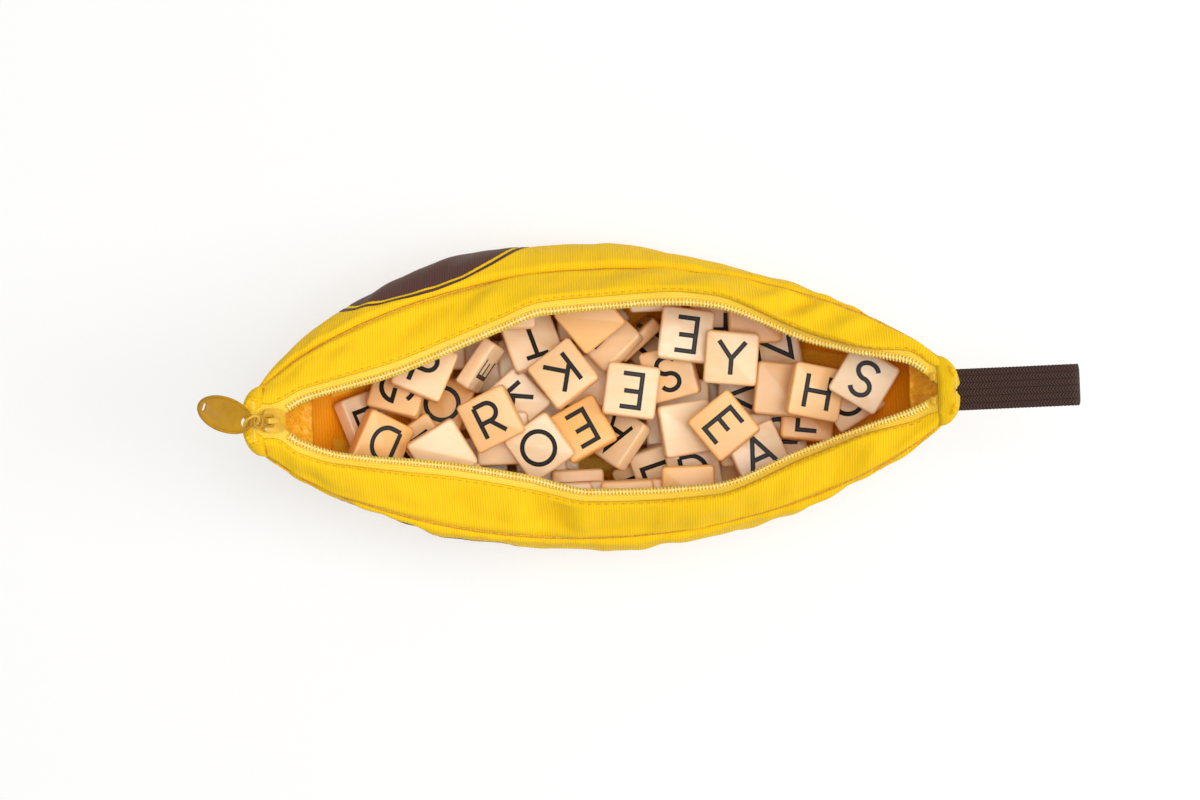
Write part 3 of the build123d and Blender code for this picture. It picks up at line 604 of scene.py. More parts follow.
def moulded_tile(name, bright, warm, shade):
    """Moulded urea plastic, like old piano keys: cream, a little clear, with faint flow marks, and with painted
    shade, a deeper orange, on its rounded edges.  The tint of each tile differs slightly."""
    made = new_finish(name, 0.34, {"IOR": 1.5, "Subsurface Weight": 0.25,
                                   "Subsurface Radius": (1.0, 0.55, 0.25), "Subsurface Scale": 0.0016})
    tree = made[1]
    place = add_node(tree, "ShaderNodeTexCoord").outputs["Object"]
    tint, edge = (add_node(tree, "ShaderNodeAttribute", attribute_name=label).outputs["Fac"]
                  for label in ("tint", "edge"))
    flow = add_node(tree, "ShaderNodeMapping", {"Vector": place, "Scale": (1.0, 2.6, 1.0)})
    cloud = add_node(tree, "ShaderNodeTexNoise", {
        "Vector": flow, "Scale": 110.0, "Detail": 2.0, "Distortion": 0.8})
    grain = add_node(tree, "ShaderNodeTexNoise", {"Vector": place, "Scale": 900.0, "Detail": 2.0})
    tinted = add_node(tree, "ShaderNodeMix", {0: tint, 6: bright, 7: warm}, data_type="RGBA").outputs[2]
    body = shaded(tree, cloud, 0.4, 0.75, tinted, warm, 0.0, 0.3)
    # painted shade: points on a tile's rounded edges take up to 0.22 of the deeper orange shade colour
    share = add_node(tree, "ShaderNodeMath", {0: edge, 1: 0.22}, operation="MULTIPLY")
    colour = add_node(tree, "ShaderNodeMix", {0: share, 6: body, 7: shade}, data_type="RGBA")
    return finished(made, colour.outputs[2], grain, 0.02, 0.35)


def filled_letter(name, colour, rough):
    """Enamel run into the engraved letter: black, satin, with dust in it."""
    made = new_finish(name, rough, {"Specular IOR Level": 0.2})
    return clouded(made, 1500.0, 3.0, 0.62, 0.8, colour, "#5B5550", 0.02, 0.3, 0.3)


FINISHES = {}


def finish(name):
    """Finishes are made once, from the colours in the settings."""
    if not FINISHES:
        colour = bpy.context.scene.tile_pouch_colours
        FINISHES.update({
            "cloth": woven_polyester("oxford_polyester", colour.cloth, colour.cloth_deep),
            # painted light: the inside faces of the cloth are orange for light that shines through the yellow
            # walls and bounces inside the pouch, and deeper between the ribs as painted shade
            "inside_cloth_painted_bounce": woven_polyester("coated_polyester_inside_painted_bounce", colour.inside_cloth_painted_bounce, colour.inside_cloth_painted_bounce_deep,
                                      0.5, 0.1),
            # painted light: the tucked cloth's orange stands for light that shines through and bounces inside the
            # pouch
            "fold": coated_fold("coated_polyester_fold_painted_bounce", "#FFBE1E", "#F39A0C"),
            # 3E2523 is the print's painted shade between the ribs
            "print": woven_polyester("screen_printed_polyester", colour.badge, "#3E2523", 0.6, 0.05),
            # F6C626 is the tape's painted shade in the low twill lines
            "tape": woven_tape("polyester_zip_tape", colour.tape, "#F6C626"),
            "coil": nylon_coil("nylon_zip_coil", colour.coil, "#FFD860"),
            # painted shade: the topstitch thread is deeper than the cloth for the shade in the stitch dimples;
            # the thread itself is the cloth's yellow
            "thread": spun_thread("sewing_thread_painted_shade", "#F7BE22", "#CE9412"),
            "overlock": spun_thread("textured_overlock_thread", "#FFC72E", "#F0A41A"),
            "seam": spun_thread("stitched_down_seam", "#EDB51C", "#C48C10"),
            "paint": sprayed_metal("yellow_sprayed_zinc", colour.paint, "#D9A40F", 0.3),
            "paint_deep": sprayed_metal("ochre_sprayed_zinc", "#D6A524", "#B98714", 0.32),
            "enamel": sprayed_metal("mustard_enamelled_zinc", colour.tag, "#A87808", 0.55, "#A0771A", 0.05),
            # 160C0A is the painted shade in the webbing's hollows
            "webbing": braided_webbing("polypropylene_webbing", colour.strap, "#160C0A"),
            # F6A03C is the painted shade on the tiles' rounded edges
            "tile": moulded_tile("moulded_urea_tile", colour.tile, "#FFBE64", "#F6A03C"),
            "letter": filled_letter("black_letter_fill", "#171310", 0.5),
            # painted highlight: a dark grey line down the middle of each black letter stroke, for the lit centre
            # of its engraving
            "painted_highlight": filled_letter("letter_painted_highlight", "#2F2A26", 0.35),
        })
    return FINISHES[name]


# ---- settings ---------------------------------------------------------------------
def shade(name, description, default):
    return bpy.props.StringProperty(
        name=name, description=description + ", as an sRGB hex value", default=default)


def size(name, description, default):
    return bpy.props.FloatProperty(name=name, description=description + ", in millimetres", default=default,
                                   min=0.01, subtype="DISTANCE", unit="NONE")


class TilePouchColours(bpy.types.PropertyGroup):
    cloth: shade("Cloth", "Outside of the pouch", "#FFD50A")
    # painted shade: colour of the outside cloth between its ribs
    cloth_deep: shade("Cloth, deep", "Outside cloth between its ribs", "#F6BD02")
    # painted light: the orange inside stands for light through and between the yellow walls; its deep colour is
    # painted shade between the ribs
    inside_cloth_painted_bounce: shade("Lining", "Inside of the pouch", "#FFAE10")
    inside_cloth_painted_bounce_deep: shade("Lining, deep", "Inside cloth between its ribs", "#F89706")
    tape: shade("Zip tape", "Tape on both sides of the zip", "#FFDA3C")
    coil: shade("Coil", "Coil of the zip", "#FFE88C")
    paint: shade("Zip paint", "Slider and its ring", "#F2C11F")
    tag: shade("Tag", "Enamel of the pull tag", "#BE8C0C")
    strap: shade("Strap", "Webbing loop", "#563930")
    badge: shade("Badge", "Printed ovals on both side panels", "#5C342C")
    tile: shade("Tile", "Letter tiles", "#FFE4BF")


class TilePouchSizes(bpy.types.PropertyGroup):
    coil_pitch: size("Coil pitch", "Distance between two turns of the zip coil", 1.25)
    coil_wire: size("Coil wire", "Radius of the coil's nylon wire", 0.36)
    stitch: size("Stitch", "Length of one stitch", 2.1)
    stitch_pitch: size("Stitch pitch", "Distance from one stitch to the next", 3.0)
    thread: size("Thread", "Thickness of the sewing thread", 0.45)
    letter_height: size("Letter", "Height of a letter on a tile", 12.2)
    letter_stroke: size("Letter stroke", "Width of a letter's line", 1.7)
    tile_round: size("Tile edge", "Radius of a tile's edges", 0.95)


# ---- cloth pieces ------------------------------------------------------------------
def side_grid(side, rows=201, columns=45):
    """Outer face of a side panel with the creases of filled soft cloth."""
    shares = np.linspace(0.0, 1.0, columns)
    grid, across, place = laid(crowded(rows), shares, lambda x, share: side_point(x, share, side))
    from_top = across[:, -1:] - across
    gathers = 0
    for away, reach, pitch, size, seed in ((from_top, 7.0, 11.0, 40, 5), (across, 6.0, 13.0, 50, 9)):
        phase = place * 2 * pi / pitch + 2.0 * drift(place, 0 * place, size, seed + side)
        gathers = gathers + 0.6 * np.exp(-away / reach) * np.sin(phase)
    crease = 1.1 * drift(place, across * 0.8, 34, 21 + side) + 0.45 * drift(place, across, 13, 31 + side)
    pinned = np.sin(np.pi * np.broadcast_to(shares, across.shape)) ** 0.5
    roll = np.exp(-(((from_top - 3.0) / 2.0) ** 2)) - 0.5 * np.exp(-((from_top / 0.8) ** 2))
    depth = ((crease + gathers) * pinned - 0.7 + roll) * calmed(place, 25.0, 0.1)
    return grid + normals_of(grid) * (-side) * depth[..., None], np.stack([place, across], -1)


def belly_point(x, share):
    """Point of the belly panel, which curls up at its seams."""
    return x, belly_y(x) * share, belly_z(x) + BELLY_EDGE * max(0.0, abs(share) - 0.62) ** 2 / 0.144


class SidePanels(bpy.types.Operator):
    """Both side panels with creases, and the belly panel"""

    bl_idname = "tile_pouch.panels"
    bl_label = "Panels"

    def execute(self, context):
        for side, word in SIDES.items():
            grid, uv = side_grid(side)
            piece = cloth(f"side_panel_{word}_cloth", grid, -side, CLOTH,
                          finish("cloth"), finish("inside_cloth_painted_bounce"), uv)
            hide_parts(f"side_panel_{word}")
            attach(piece, "pouch")
            for edge in ("top", "belly"):
                refinished(f"{edge}_seam_allowance_{word}", "overlock")
        shares = np.linspace(-1.0, 1.0, 41)
        grid, across, place = laid(crowded(161), shares, belly_point)
        raised = np.clip((np.abs(place) - BELLY_FLAT) / 40.0, 0.0, 1.0) * np.cos(np.pi / 2 * shares)
        grid[..., 2] += raised * (0.5 + 0.5 * drift(place, across, 24, 3)) + 0.05
        uv = np.stack([place, across], -1)
        piece = cloth("belly_panel_cloth", grid, -1, CLOTH, finish("cloth"), finish("inside_cloth_painted_bounce"), uv)
        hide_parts("belly_panel")
        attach(piece, "pouch")
        return {"FINISHED"}


def refinished(node, coat):
    """CAD node shown as it is, with a real finish."""
    mesh = frame["nodes"][node].data
    mesh.materials.clear()
    mesh.materials.append(finish(coat))


LAP = 2.6  # how far a facing's folded edge lies over the tape
LIP_ROWS = 301

# diagonal folds of each facing: place, width and height in millimetres
FOLDS = {
    1: ((70, 3.6, 2.0), (77, 3.0, -1.2), (84, 3.2, 2.0), (96, 3.5, 1.8), (40, 6.0, -1.3), (24, 6.0, 1.0),
        (-28, 7.0, 1.2), (-60, 6.0, -1.4), (-80, 6.0, 1.0)),
    -1: ((-12, 4.5, 1.6), (-24, 4.5, -1.8), (-38, 5.0, 1.5), (-56, 5.0, -1.4), (-70, 5.0, 1.2),
         (12, 5.0, -1.4), (30, 6.0, 1.4), (46, 4.0, -1.3), (62, 5.0, 1.2), (78, 4.0, -1.2), (90, 4.0, 1.2)),
}
FOLD_SLANT = {1: 0.9, -1: -0.45}


def between(x, side, low, high, share, lift=0.0):
    """Place between two points (y, z) of a lip's section, raised by lift."""
    return x, side * (low[0] + (high[0] - low[0]) * share), low[1] + (high[1] - low[1]) * share + lift


def facing_point(x, side, share):
    """Place on a facing: share 0 at its seam, 1 where the tape starts, 2 at its folded edge."""
    seam, sewn, rim = lip_points(x, side)
    if share <= 1:
        return between(x, side, seam, sewn, share, 0.4 * share)
    part = (share - 1) * LAP * ease((min(x - ZIP_START, ZIP_END - x) + 2.0) / 8.0) / TAPE
    return between(x, side, sewn, rim, part, 0.55 if share < 2 else 0.25)


def tape_point(x, side, share):
    """Place on a tape: share 0 at its sewn edge, 1 at the rim."""
    _, sewn, rim = lip_points(x, side)
    return between(x, side, sewn, rim, share)


def lip_turns(side):
    """Bend shares of the sewn edge, and how much more the rim bends, at every row of a lip."""
    turns = np.array([swing(x, side) for x in crowded(LIP_ROWS)]) / lip_limit(side)
    return turns[:, :1], turns[:, 1:] - turns[:, :1]


def facing_grid(side):
    """Outer face of a facing, from its seam to the folded edge over the tape, and its bend shares."""
    shares = np.concatenate([np.linspace(0.0, 1.0, 21), (1.4, 1.8, 2.0)])
    grid, across, place = laid(crowded(LIP_ROWS), shares, lambda x, share: facing_point(x, side, share))
    pinned = np.sin(np.pi * np.clip(np.broadcast_to(shares, across.shape), 0, 1)) ** 0.8
    slant = place + across * FOLD_SLANT[side]
    folds = 1.0 * drift(slant, across * 0.3, 26, 41 + side) + 0.4 * drift(place, across, 10, 51 + side)
    for middle, width, height in FOLDS[side]:
        folds = folds + height * np.exp(-(((slant - middle) / width) ** 2))
    roll = 0.9 * np.exp(-(((across - 2.6) / 1.7) ** 2)) - 0.5 * np.exp(-((across / 0.8) ** 2))
    puff = (pinned * (1.0 + folds) + roll) * calmed(place, 18.0)
    grid = grid - normals_of(grid) * side * puff[..., None]
    sewn, more = lip_turns(side)
    bends = np.minimum(shares[None], 1) ** 1.15 * sewn + np.clip(shares[None] - 1, 0, 1) * LAP / TAPE * more
    return grid, bends, np.stack([place, across + 60], -1)


def tape_grid(side):
    """Upper face of a zip tape, from under the facing to the rim, and its bend shares."""
    shares = np.linspace(0.0, 1.0, TAPE_COLUMNS + 1)
    grid, across, place = laid(crowded(LIP_ROWS), shares, lambda x, share: tape_point(x, side, share))
    wave = 0.22 * drift(place, across, 12, 61 + side) * calmed(place, 18.0) * np.sin(np.pi * shares)
    grid = grid - normals_of(grid) * side * (wave - 0.25)[..., None]
    sewn, more = lip_turns(side)
    return grid, sewn + more * shares[None], np.stack([place, across], -1)


TAPE_COLUMNS = 8


class Lips(bpy.types.Operator):
    """Facings and zip tapes"""

    bl_idname = "tile_pouch.lips"
    bl_label = "Facings and tapes"

    def execute(self, context):
        for side, word in SIDES.items():
            for shape, name, node, slot, thickness, coat in (
                (facing_grid, "facing", "zip_facing", "pouch_fabric", 0.7 * CLOTH, "cloth"),
                (tape_grid, "tape", "zip_tape", "zip_tape", TAPE_THICK, "tape"),
            ):
                grid, bends, uv = shape(side)
                piece = cloth(f"{name}_{word}_cloth", grid, -side, thickness,
                              finish(coat), finish(coat), uv)
                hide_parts(f"{node}_{word}")
                bent(piece, side, both_faces(grid, bends, side, thickness))
        return {"FINISHED"}


def along_cloth(grid, bends, column, outward, start, end, pitch, lift):
    """Points every pitch along one line of a grid, with its direction, its outward side and its bend."""

    def on_line(rows):
        low = int(column)
        return rows[:, low] + (rows[:, low + 1] - rows[:, low]) * (column - low)

    def at_stops(values):
        return np.stack([np.interp(stops, travelled, v) for v in values.T], -1)

    up = outward * on_line(normals_of(grid))
    path = on_line(grid) + up * lift
    travelled = travelled_along(path)
    first, last = np.interp((start, end), path[:, 0], travelled)
    stops = np.arange(first + pitch / 2, last, pitch)
    return (at_stops(path), at_stops(np.gradient(path, axis=0)), at_stops(up),
            np.interp(stops, travelled, on_line(bends)))


COIL_FROM, COIL_TO, COIL_LEAN = -109.5, 113.6, 0.12
TOP_STOP_X = 116.0
CORE_SIDES = 6


class ZipCoil(bpy.types.Operator):
    """Both rows of the nylon coil, each round its core, and the top stops"""

    bl_idname = "tile_pouch.coil"
    bl_label = "Zip coil"

    def execute(self, context):
        sizes = context.scene.tile_pouch_sizes
        column = TAPE_COLUMNS * (1 - (COIL_WIDTH / 2 + 0.1) / TAPE)
        for side, word in SIDES.items():
            grid, bends, _ = tape_grid(side)
            places, tangent, up, bend = along_cloth(grid, bends, column, -side, COIL_FROM, COIL_TO,
                                                    sizes.coil_pitch, 0.5)
            across = unit(np.cross(tangent, up)) + COIL_LEAN * unit(tangent)
            piece = strewn(f"zip_coil_{word}", True, finish("coil"), places, across, np.cross(across, up),
                           (COIL_WIDTH - 0.5, COIL_HEIGHT - 0.55, sizes.coil_wire), bend)
            core = tube(f"zip_coil_core_{word}", places, 0.55, finish("coil"), CORE_SIDES)
            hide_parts(f"zip_teeth_{word}")
            bent(piece, side, bend_of(piece))
            bent(core, side, np.repeat(bend, CORE_SIDES))
            stop = softened(f"top_stop_{word}", finish("paint"), 0.25, f"zip_top_stop_{word}")
            share = swing(TOP_STOP_X, side)[1] / lip_limit(side)
            bent(stop, side, [share] * len(stop.data.vertices))
        return {"FINISHED"}


STITCH_COLUMN, STITCHED_TO = 21.4, 113.0


class Stitching(bpy.types.Operator):
    """Rows of stitches beside the tapes, and the pressed seams of the panels"""

    bl_idname = "tile_pouch.stitching"
    bl_label = "Stitching"

    def execute(self, context):
        sizes = context.scene.tile_pouch_sizes
        for side, word in SIDES.items():
            grid, bends, _ = facing_grid(side)
            places, tangent, up, bend = along_cloth(
                grid, bends, STITCH_COLUMN, -side, -STITCHED_TO, STITCHED_TO, sizes.stitch_pitch, 0.1)
            # the thread finish is darker than the cloth: painted shade in the stitch dimples
            piece = strewn(f"topstitching_{word}", False, finish("thread"), places, tangent, up,
                           (sizes.stitch, sizes.thread, sizes.thread), bend)
            bent(piece, side, bend_of(piece))
            xs = crowded(181)
            top = [(x, side * (seam_y(x, side) - 0.1), seam_z(x) - 0.4) for x in xs]
            low = [(x, side * (belly_y(x) + 0.1), belly_z(x) + 1.9) for x in xs]
            for name, path, radius in (("top_seam", top, 0.5), ("belly_seam", low, 0.6)):
                welt = tube(f"{name}_{word}", path, radius, finish("seam"), 6)
                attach(welt, "pouch")
        return {"FINISHED"}


# printed ovals: middle along the pouch, height as a share of the panel
BADGE = {1: (-58.0, 0.69), -1: (-62.0, 0.57)}
OVAL_LONG, OVAL_SHORT, OVAL_LIFT = 34.0, 21.0, 0.12  # half axes, and how thick the print is
OVAL_TURNS = 96
PANEL_HEIGHT = 75.0  # about where the ovals are; their height grows and shrinks with the panel's


def oval_rings(side, inner, outer, rings):
    """Points on the creased panel between two sizes of the oval, ring by ring, with their places."""
    grid, uv = side_grid(side, 401, 91)
    raised = grid - side * normals_of(grid) * OVAL_LIFT
    middle, height = BADGE[side]
    points, places = [], []
    for ring in range(rings + 1):
        share = max(inner + (outer - inner) * ring / rings, 0.004)
        for k in range(OVAL_TURNS):
            angle = 2 * pi * k / OVAL_TURNS
            x = middle + OVAL_LONG * share * cos(angle)
            i = int(np.clip(np.searchsorted(grid[:, 0, 0], x), 1, len(grid) - 1))
            t = (x - grid[i - 1, 0, 0]) / (grid[i, 0, 0] - grid[i - 1, 0, 0])
            line = raised[i - 1] * (1 - t) + raised[i] * t
            lengths = uv[i - 1, :, 1] * (1 - t) + uv[i, :, 1] * t
            v = lengths[-1] * (height + OVAL_SHORT * share * sin(angle) / PANEL_HEIGHT)
            points.append([np.interp(v, lengths, line[:, axis]) for axis in range(3)])
            places.append((x, v))
    return points, places


class Badges(bpy.types.Operator):
    """Plain brown ovals with a thin ring, printed on both side panels"""

    bl_idname = "tile_pouch.badges"
    bl_label = "Printed ovals"

    def execute(self, context):
        for side, word in SIDES.items():
            points, faces, places = [], [], []
            for inner, outer, rings in ((0.0, 0.9, 16), (0.95, 1.0, 2)):
                base = len(points)
                some, where = oval_rings(side, inner, outer, rings)
                points += some
                places += where
                for ring in range(rings):
                    for k in range(OVAL_TURNS):
                        a, b = (base + ring * OVAL_TURNS + n % OVAL_TURNS for n in (k, k + 1))
                        quad = [a, b, b + OVAL_TURNS, a + OVAL_TURNS]
                        faces.append(quad if side > 0 else quad[::-1])
            piece = plain_mesh(f"printed_oval_{word}", points, faces, [finish("print")], uv=places)
            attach(piece, "pouch")
        return {"FINISHED"}


# ---- hardware, strap and ends ---------------------------------------------------------
class ZipHardware(bpy.types.Operator):
    """Slider with its crown, bottom stop, eye, ring and tag"""

    bl_idname = "tile_pouch.hardware"
    bl_label = "Slider and pull"

    def execute(self, context):
        for node, body, coat, width in (
            ("slider_body", "slider", "paint", 0.3), ("slider_crown", "slider", "paint", 0.25),
            ("bottom_stop", "pouch", "paint", 0.3), ("pull_eye", "pull_eye", "paint_deep", 0.25),
            ("pull_tag", "pull_tag", "enamel", 0.22),
        ):
            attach(softened(node, finish(coat), width, f"{node}_metal"), body)
        refinished("pull_ring", "paint")
        rim = tag_rim()
        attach(rim, "pull_tag")
        return {"FINISHED"}


def node_axes(node):
    """Middle and main directions of a flat node, the thinnest last."""
    points = np.array([v.co for v in frame["nodes"][node].data.vertices]) / MM
    middle = (points.min(axis=0) + points.max(axis=0)) / 2
    _, _, axes = np.linalg.svd(points - points.mean(axis=0), full_matrices=False)
    for turn in range(3):
        spread = (points - middle) @ axes[turn]
        middle = middle + axes[turn] * (spread.max() + spread.min()) / 2
    return middle, axes, points


BEAD_OPENING, BEAD_INSET, BEAD_RADIUS = 0.85, 0.55, 0.42  # turn left open at the ring, then millimetres


def tag_rim():
    """Raised bead round the oval tag, open where the ring goes through."""
    middle, axes, points = node_axes("pull_tag")
    reach = [np.abs((points - middle) @ axis).max() for axis in axes]
    long_way = axes[0] if axes[0][0] > 0 else -axes[0]
    up = axes[2] if axes[2][2] > 0 else -axes[2]
    turns = np.linspace(BEAD_OPENING, 2 * pi - BEAD_OPENING, 97)[:, None]
    bead = (middle + np.cos(turns) * long_way * (reach[0] - BEAD_INSET)
            + np.sin(turns) * axes[1] * (reach[1] - BEAD_INSET) + up * reach[2] * 0.95)
    piece = tube("tag_rim", bead, BEAD_RADIUS, finish("enamel"), 8)
    return piece


WEBBING, WEBBING_EDGE, PICK = 1.8, 0.45, 1.24  # thickness, how much thinner its edges are, one weft loop


def strap_grid():
    """Outer face of the webbing, out from the seam along its top and back along its underside."""
    low, high = (np.array(c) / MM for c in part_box("strap_loop"))
    level, width = (low[2] + high[2]) / 2, high[1] - low[1]
    radius = (high[2] - low[2]) / 2 - WEBBING / 2
    tip, root = high[0] - radius - WEBBING / 2, low[0] - 4.0
    path = []
    for share in np.linspace(0, 1, 90, endpoint=False):
        spread = (radius - WEBBING / 2) * ease(share) ** 0.8
        path.append((root + (tip - root) * share, level + WEBBING / 2 + spread))
    for turn in np.linspace(pi / 2, -pi / 2, 24):
        path.append((tip + radius * cos(turn), level + radius * sin(turn)))
    path += [(x, 2 * level - z) for x, z in path[89::-1]]
    path, shares = np.array(path), np.linspace(-0.5, 0.5, 30)
    normal = unit(np.gradient(path, axis=0)[:, ::-1] * (-1, 1))
    crown = WEBBING_EDGE * (1 - np.abs(2 * shares) ** 8) + WEBBING_EDGE
    travelled = travelled_along(path)[:, None]
    loops = 0.12 * np.sin(travelled * 2 * pi / PICK) * (np.abs(shares) > 0.47) * np.sign(shares)
    grid = np.stack([path[:, :1] + normal[:, :1] * crown, shares * width + loops,
                     path[:, 1:] + normal[:, 1:] * crown], -1)
    return grid, np.stack(np.broadcast_arrays(travelled, shares * width), -1)


class Strap(bpy.types.Operator):
    """Webbing loop with its woven edges, and the gathered cloth over both tips"""

    bl_idname = "tile_pouch.strap"
    bl_label = "Strap and tips"

    def execute(self, context):
        grid, uv = strap_grid()
        outward = 1 if normals_of(grid)[45, 15, 2] > 0 else -1
        piece = cloth("strap_webbing", grid, outward, 1.7, finish("webbing"), finish("webbing"), uv)
        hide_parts("strap_loop")
        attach(piece, "strap")
        for sign, word in ENDS.items():
            grid = tip_grid(sign)
            down = np.linspace(0, 30, len(grid))[:, None]
            uv = np.stack([grid[..., 0] * sign + down, lengths_across(grid)], -1)
            outward = sign if normals_of(grid)[20, 15, 0] > 0 else -sign
            cover = cloth(f"tip_cover_{word}", grid, outward, 0.8, finish("cloth"), finish("inside_cloth_painted_bounce"), uv)
            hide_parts(f"end_binding_{word}")
            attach(cover, "pouch")
        return {"FINISHED"}


ENDS = {-1: "left", 1: "right"}
TIP_START, TIP_REACH, TIP_HALF = 117.5, 8.2, 12.5
TIP = {-1: (102.4, 0.3, 90.0, 0.12), 1: (95.3, 0.66, 87.5, 0.3)}  # top, its slope, middle, crumples


def tip_grid(sign):
    """Gathered cloth round a tip: from above the zip's end, over the tip and down to the belly."""
    turns, shares = np.linspace(pi / 2, -pi / 2, 41), np.linspace(-1.0, 1.0, 61)
    grid = np.zeros((41, 61, 3))
    top, slope, middle, crumpled = TIP[sign]
    for i, turn in enumerate(turns):
        half = TIP_HALF * (1 - 0.38 * abs(sin(turn)) ** 5)
        for j, share in enumerate(shares):
            y = share * half
            slider_room = 2.9 * np.exp(-((y / 4.8) ** 6)) if sign < 0 else 0.0
            notch = 1.8 * np.exp(-((y / 1.5) ** 2)) + slider_room
            reach = max(TIP_REACH * sqrt(max(0.0, 1 - abs(share) ** 2.4)) - notch, 0.0)
            x = TIP_START + slider_room + reach * cos(turn) ** 0.5
            rise = top + slope * (x - TIP_START) - middle if turn > 0 else TIP_HALF
            z = middle + rise * abs(sin(turn)) ** 0.6 * (1 if turn > 0 else -1)
            crumple = crumpled * drift(y, z, 7.0, 81 + sign) * cos(turn)
            grid[i, j] = (sign * (x + crumple - 0.3), y, z)
    return grid


TUCKED = {-1: 20.0, 1: 13.0}  # how far the folds reach in from a tip


def tucked_grid(sign):
    """Crumpled cloth that slopes down into the pouch from a tip."""
    grid = np.zeros((46, 31, 3))
    for i, distance in enumerate(np.linspace(0.0, 1.0, 46)):
        x = sign * (HALF - 0.5 - TUCKED[sign] * distance)
        half = max(seam_y(x, 1) - 3.0, 1.5)
        top = min(rim_z(x, 1), rim_z(x, -1)) - 1.6 - 11.0 * distance
        for j, share in enumerate(np.linspace(-1.0, 1.0, 31)):
            y, held = share * half, ease(distance * 3) * (1 - abs(share) ** 4)
            crumple = 1.4 * drift(x, y * 0.6, 6.0, 71 + sign) + 0.7 * drift(x, y, 2.6, 73 + sign)
            grid[i, j] = (x, y, top - 2.2 * (1 - abs(share)) * distance + crumple * held)
    return grid


class EndFolds(bpy.types.Operator):
    """Crumpled tape ends and cloth tucked inside both ends of the zip"""

    bl_idname = "tile_pouch.end_folds"
    bl_label = "Ends of the zip"

    def execute(self, context):
        for sign, word in ENDS.items():
            grid = tucked_grid(sign)
            outward = 1 if normals_of(grid)[20, 15, 2] > 0 else -1
            uv = np.stack([grid[..., 0], lengths_across(grid)], -1)
            piece = cloth(f"tucked_end_{word}", grid, outward, 0.5, finish("fold"), finish("fold"), uv)
            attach(piece, "pouch")
            for column in (6, 14, 22):
                places, tangent, up, _ = along_cloth(grid[::-sign], np.zeros(grid.shape[:2]), column,
                                                     -outward * sign, -200, 200, 1.5, 0.1)
                zigzag = np.cross(tangent, up) * ((-1.0) ** np.arange(len(places)))[:, None]
                thread = strewn(f"overlock_{word}_{column}", False, finish("overlock"), places,
                                unit(tangent) + 0.8 * unit(zigzag), up, (2.2, 0.4, 0.4))
                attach(thread, "pouch")
        return {"FINISHED"}


# ---- tiles ------------------------------------------------------------------------------
def arc(cx, cy, rx, ry, start, end, count=14):
    turns = [radians(start + (end - start) * i / (count - 1)) for i in range(count)]
    return [(cx + rx * cos(t), cy + ry * sin(t)) for t in turns]


def letter_lines():
    """Plain capital letters as lines, one unit high."""
    stem = [(0, 0), (0, 1)]
    short_stem = [(0, 0.02), (0, 0.98)]
    low_bowl = [(0, 0.49), (0.3, 0.49)] + arc(0.36, 0.245, 0.28, 0.245, 90, -90) + [(0, 0)]
    wide_bowl = [(0, 1), (0.28, 1)] + arc(0.3, 0.5, 0.46, 0.5, 90, -90, 22) + [(0, 0)]
    loop = [(0, 1), (0.28, 1)] + arc(0.34, 0.73, 0.27, 0.27, 90, -90) + [(0, 0.46)]
    return {
        "A": [[(0, 0), (0.43, 1), (0.86, 0)], [(0.16, 0.34), (0.7, 0.34)]],
        "B": [short_stem, [(0, 1)] + arc(0.34, 0.745, 0.26, 0.255, 90, -90) + [(0, 0.49)], low_bowl],
        "C": [arc(0.5, 0.5, 0.48, 0.5, 48, 312, 26)],
        "D": [short_stem, wide_bowl],
        "E": [[(0.58, 1), (0, 1), (0, 0), (0.58, 0)], [(0, 0.52), (0.5, 0.52)]],
        "F": [[(0.58, 1), (0, 1), (0, 0)], [(0, 0.52), (0.48, 0.52)]],
        "G": [arc(0.5, 0.5, 0.48, 0.5, 48, 345, 28) + [(0.97, 0.44), (0.56, 0.44)]],
        "H": [stem, [(0.7, 0), (0.7, 1)], [(0, 0.52), (0.7, 0.52)]],
        "I": [stem],
        "K": [stem, [(0.64, 1), (0.04, 0.42)], [(0.2, 0.58), (0.7, 0)]],
        "L": [[(0, 1), (0, 0), (0.56, 0)]],
        "M": [[(0, 0), (0.04, 1), (0.45, 0.25), (0.86, 1), (0.9, 0)]],
        "N": [[(0, 0), (0, 1), (0.72, 0), (0.72, 1)]],
        "O": [arc(0.5, 0.5, 0.5, 0.5, 0, 360, 40)],
        "P": [stem, loop],
        "R": [stem, loop, [(0.3, 0.46), (0.64, 0)]],
        "S": [arc(0.32, 0.745, 0.29, 0.255, 25, 262, 16) + arc(0.32, 0.25, 0.31, 0.25, 80, -155, 16)],
        "T": [[(0, 1), (0.7, 1)], [(0.35, 1), (0.35, 0)]],
        "U": [[(0, 1), (0, 0.36)] + arc(0.34, 0.35, 0.34, 0.35, 180, 360, 18) + [(0.68, 1)]],
        "V": [[(0, 1), (0.42, 0), (0.84, 1)]],
        "W": [[(0, 1), (0.28, 0), (0.56, 0.9), (0.84, 0), (1.12, 1)]],
        "Y": [[(0, 1), (0.4, 0.48), (0.8, 1)], [(0.4, 0.48), (0.4, 0)]],
        "Z": [[(0, 1), (0.66, 1), (0, 0), (0.68, 0)]],
    }


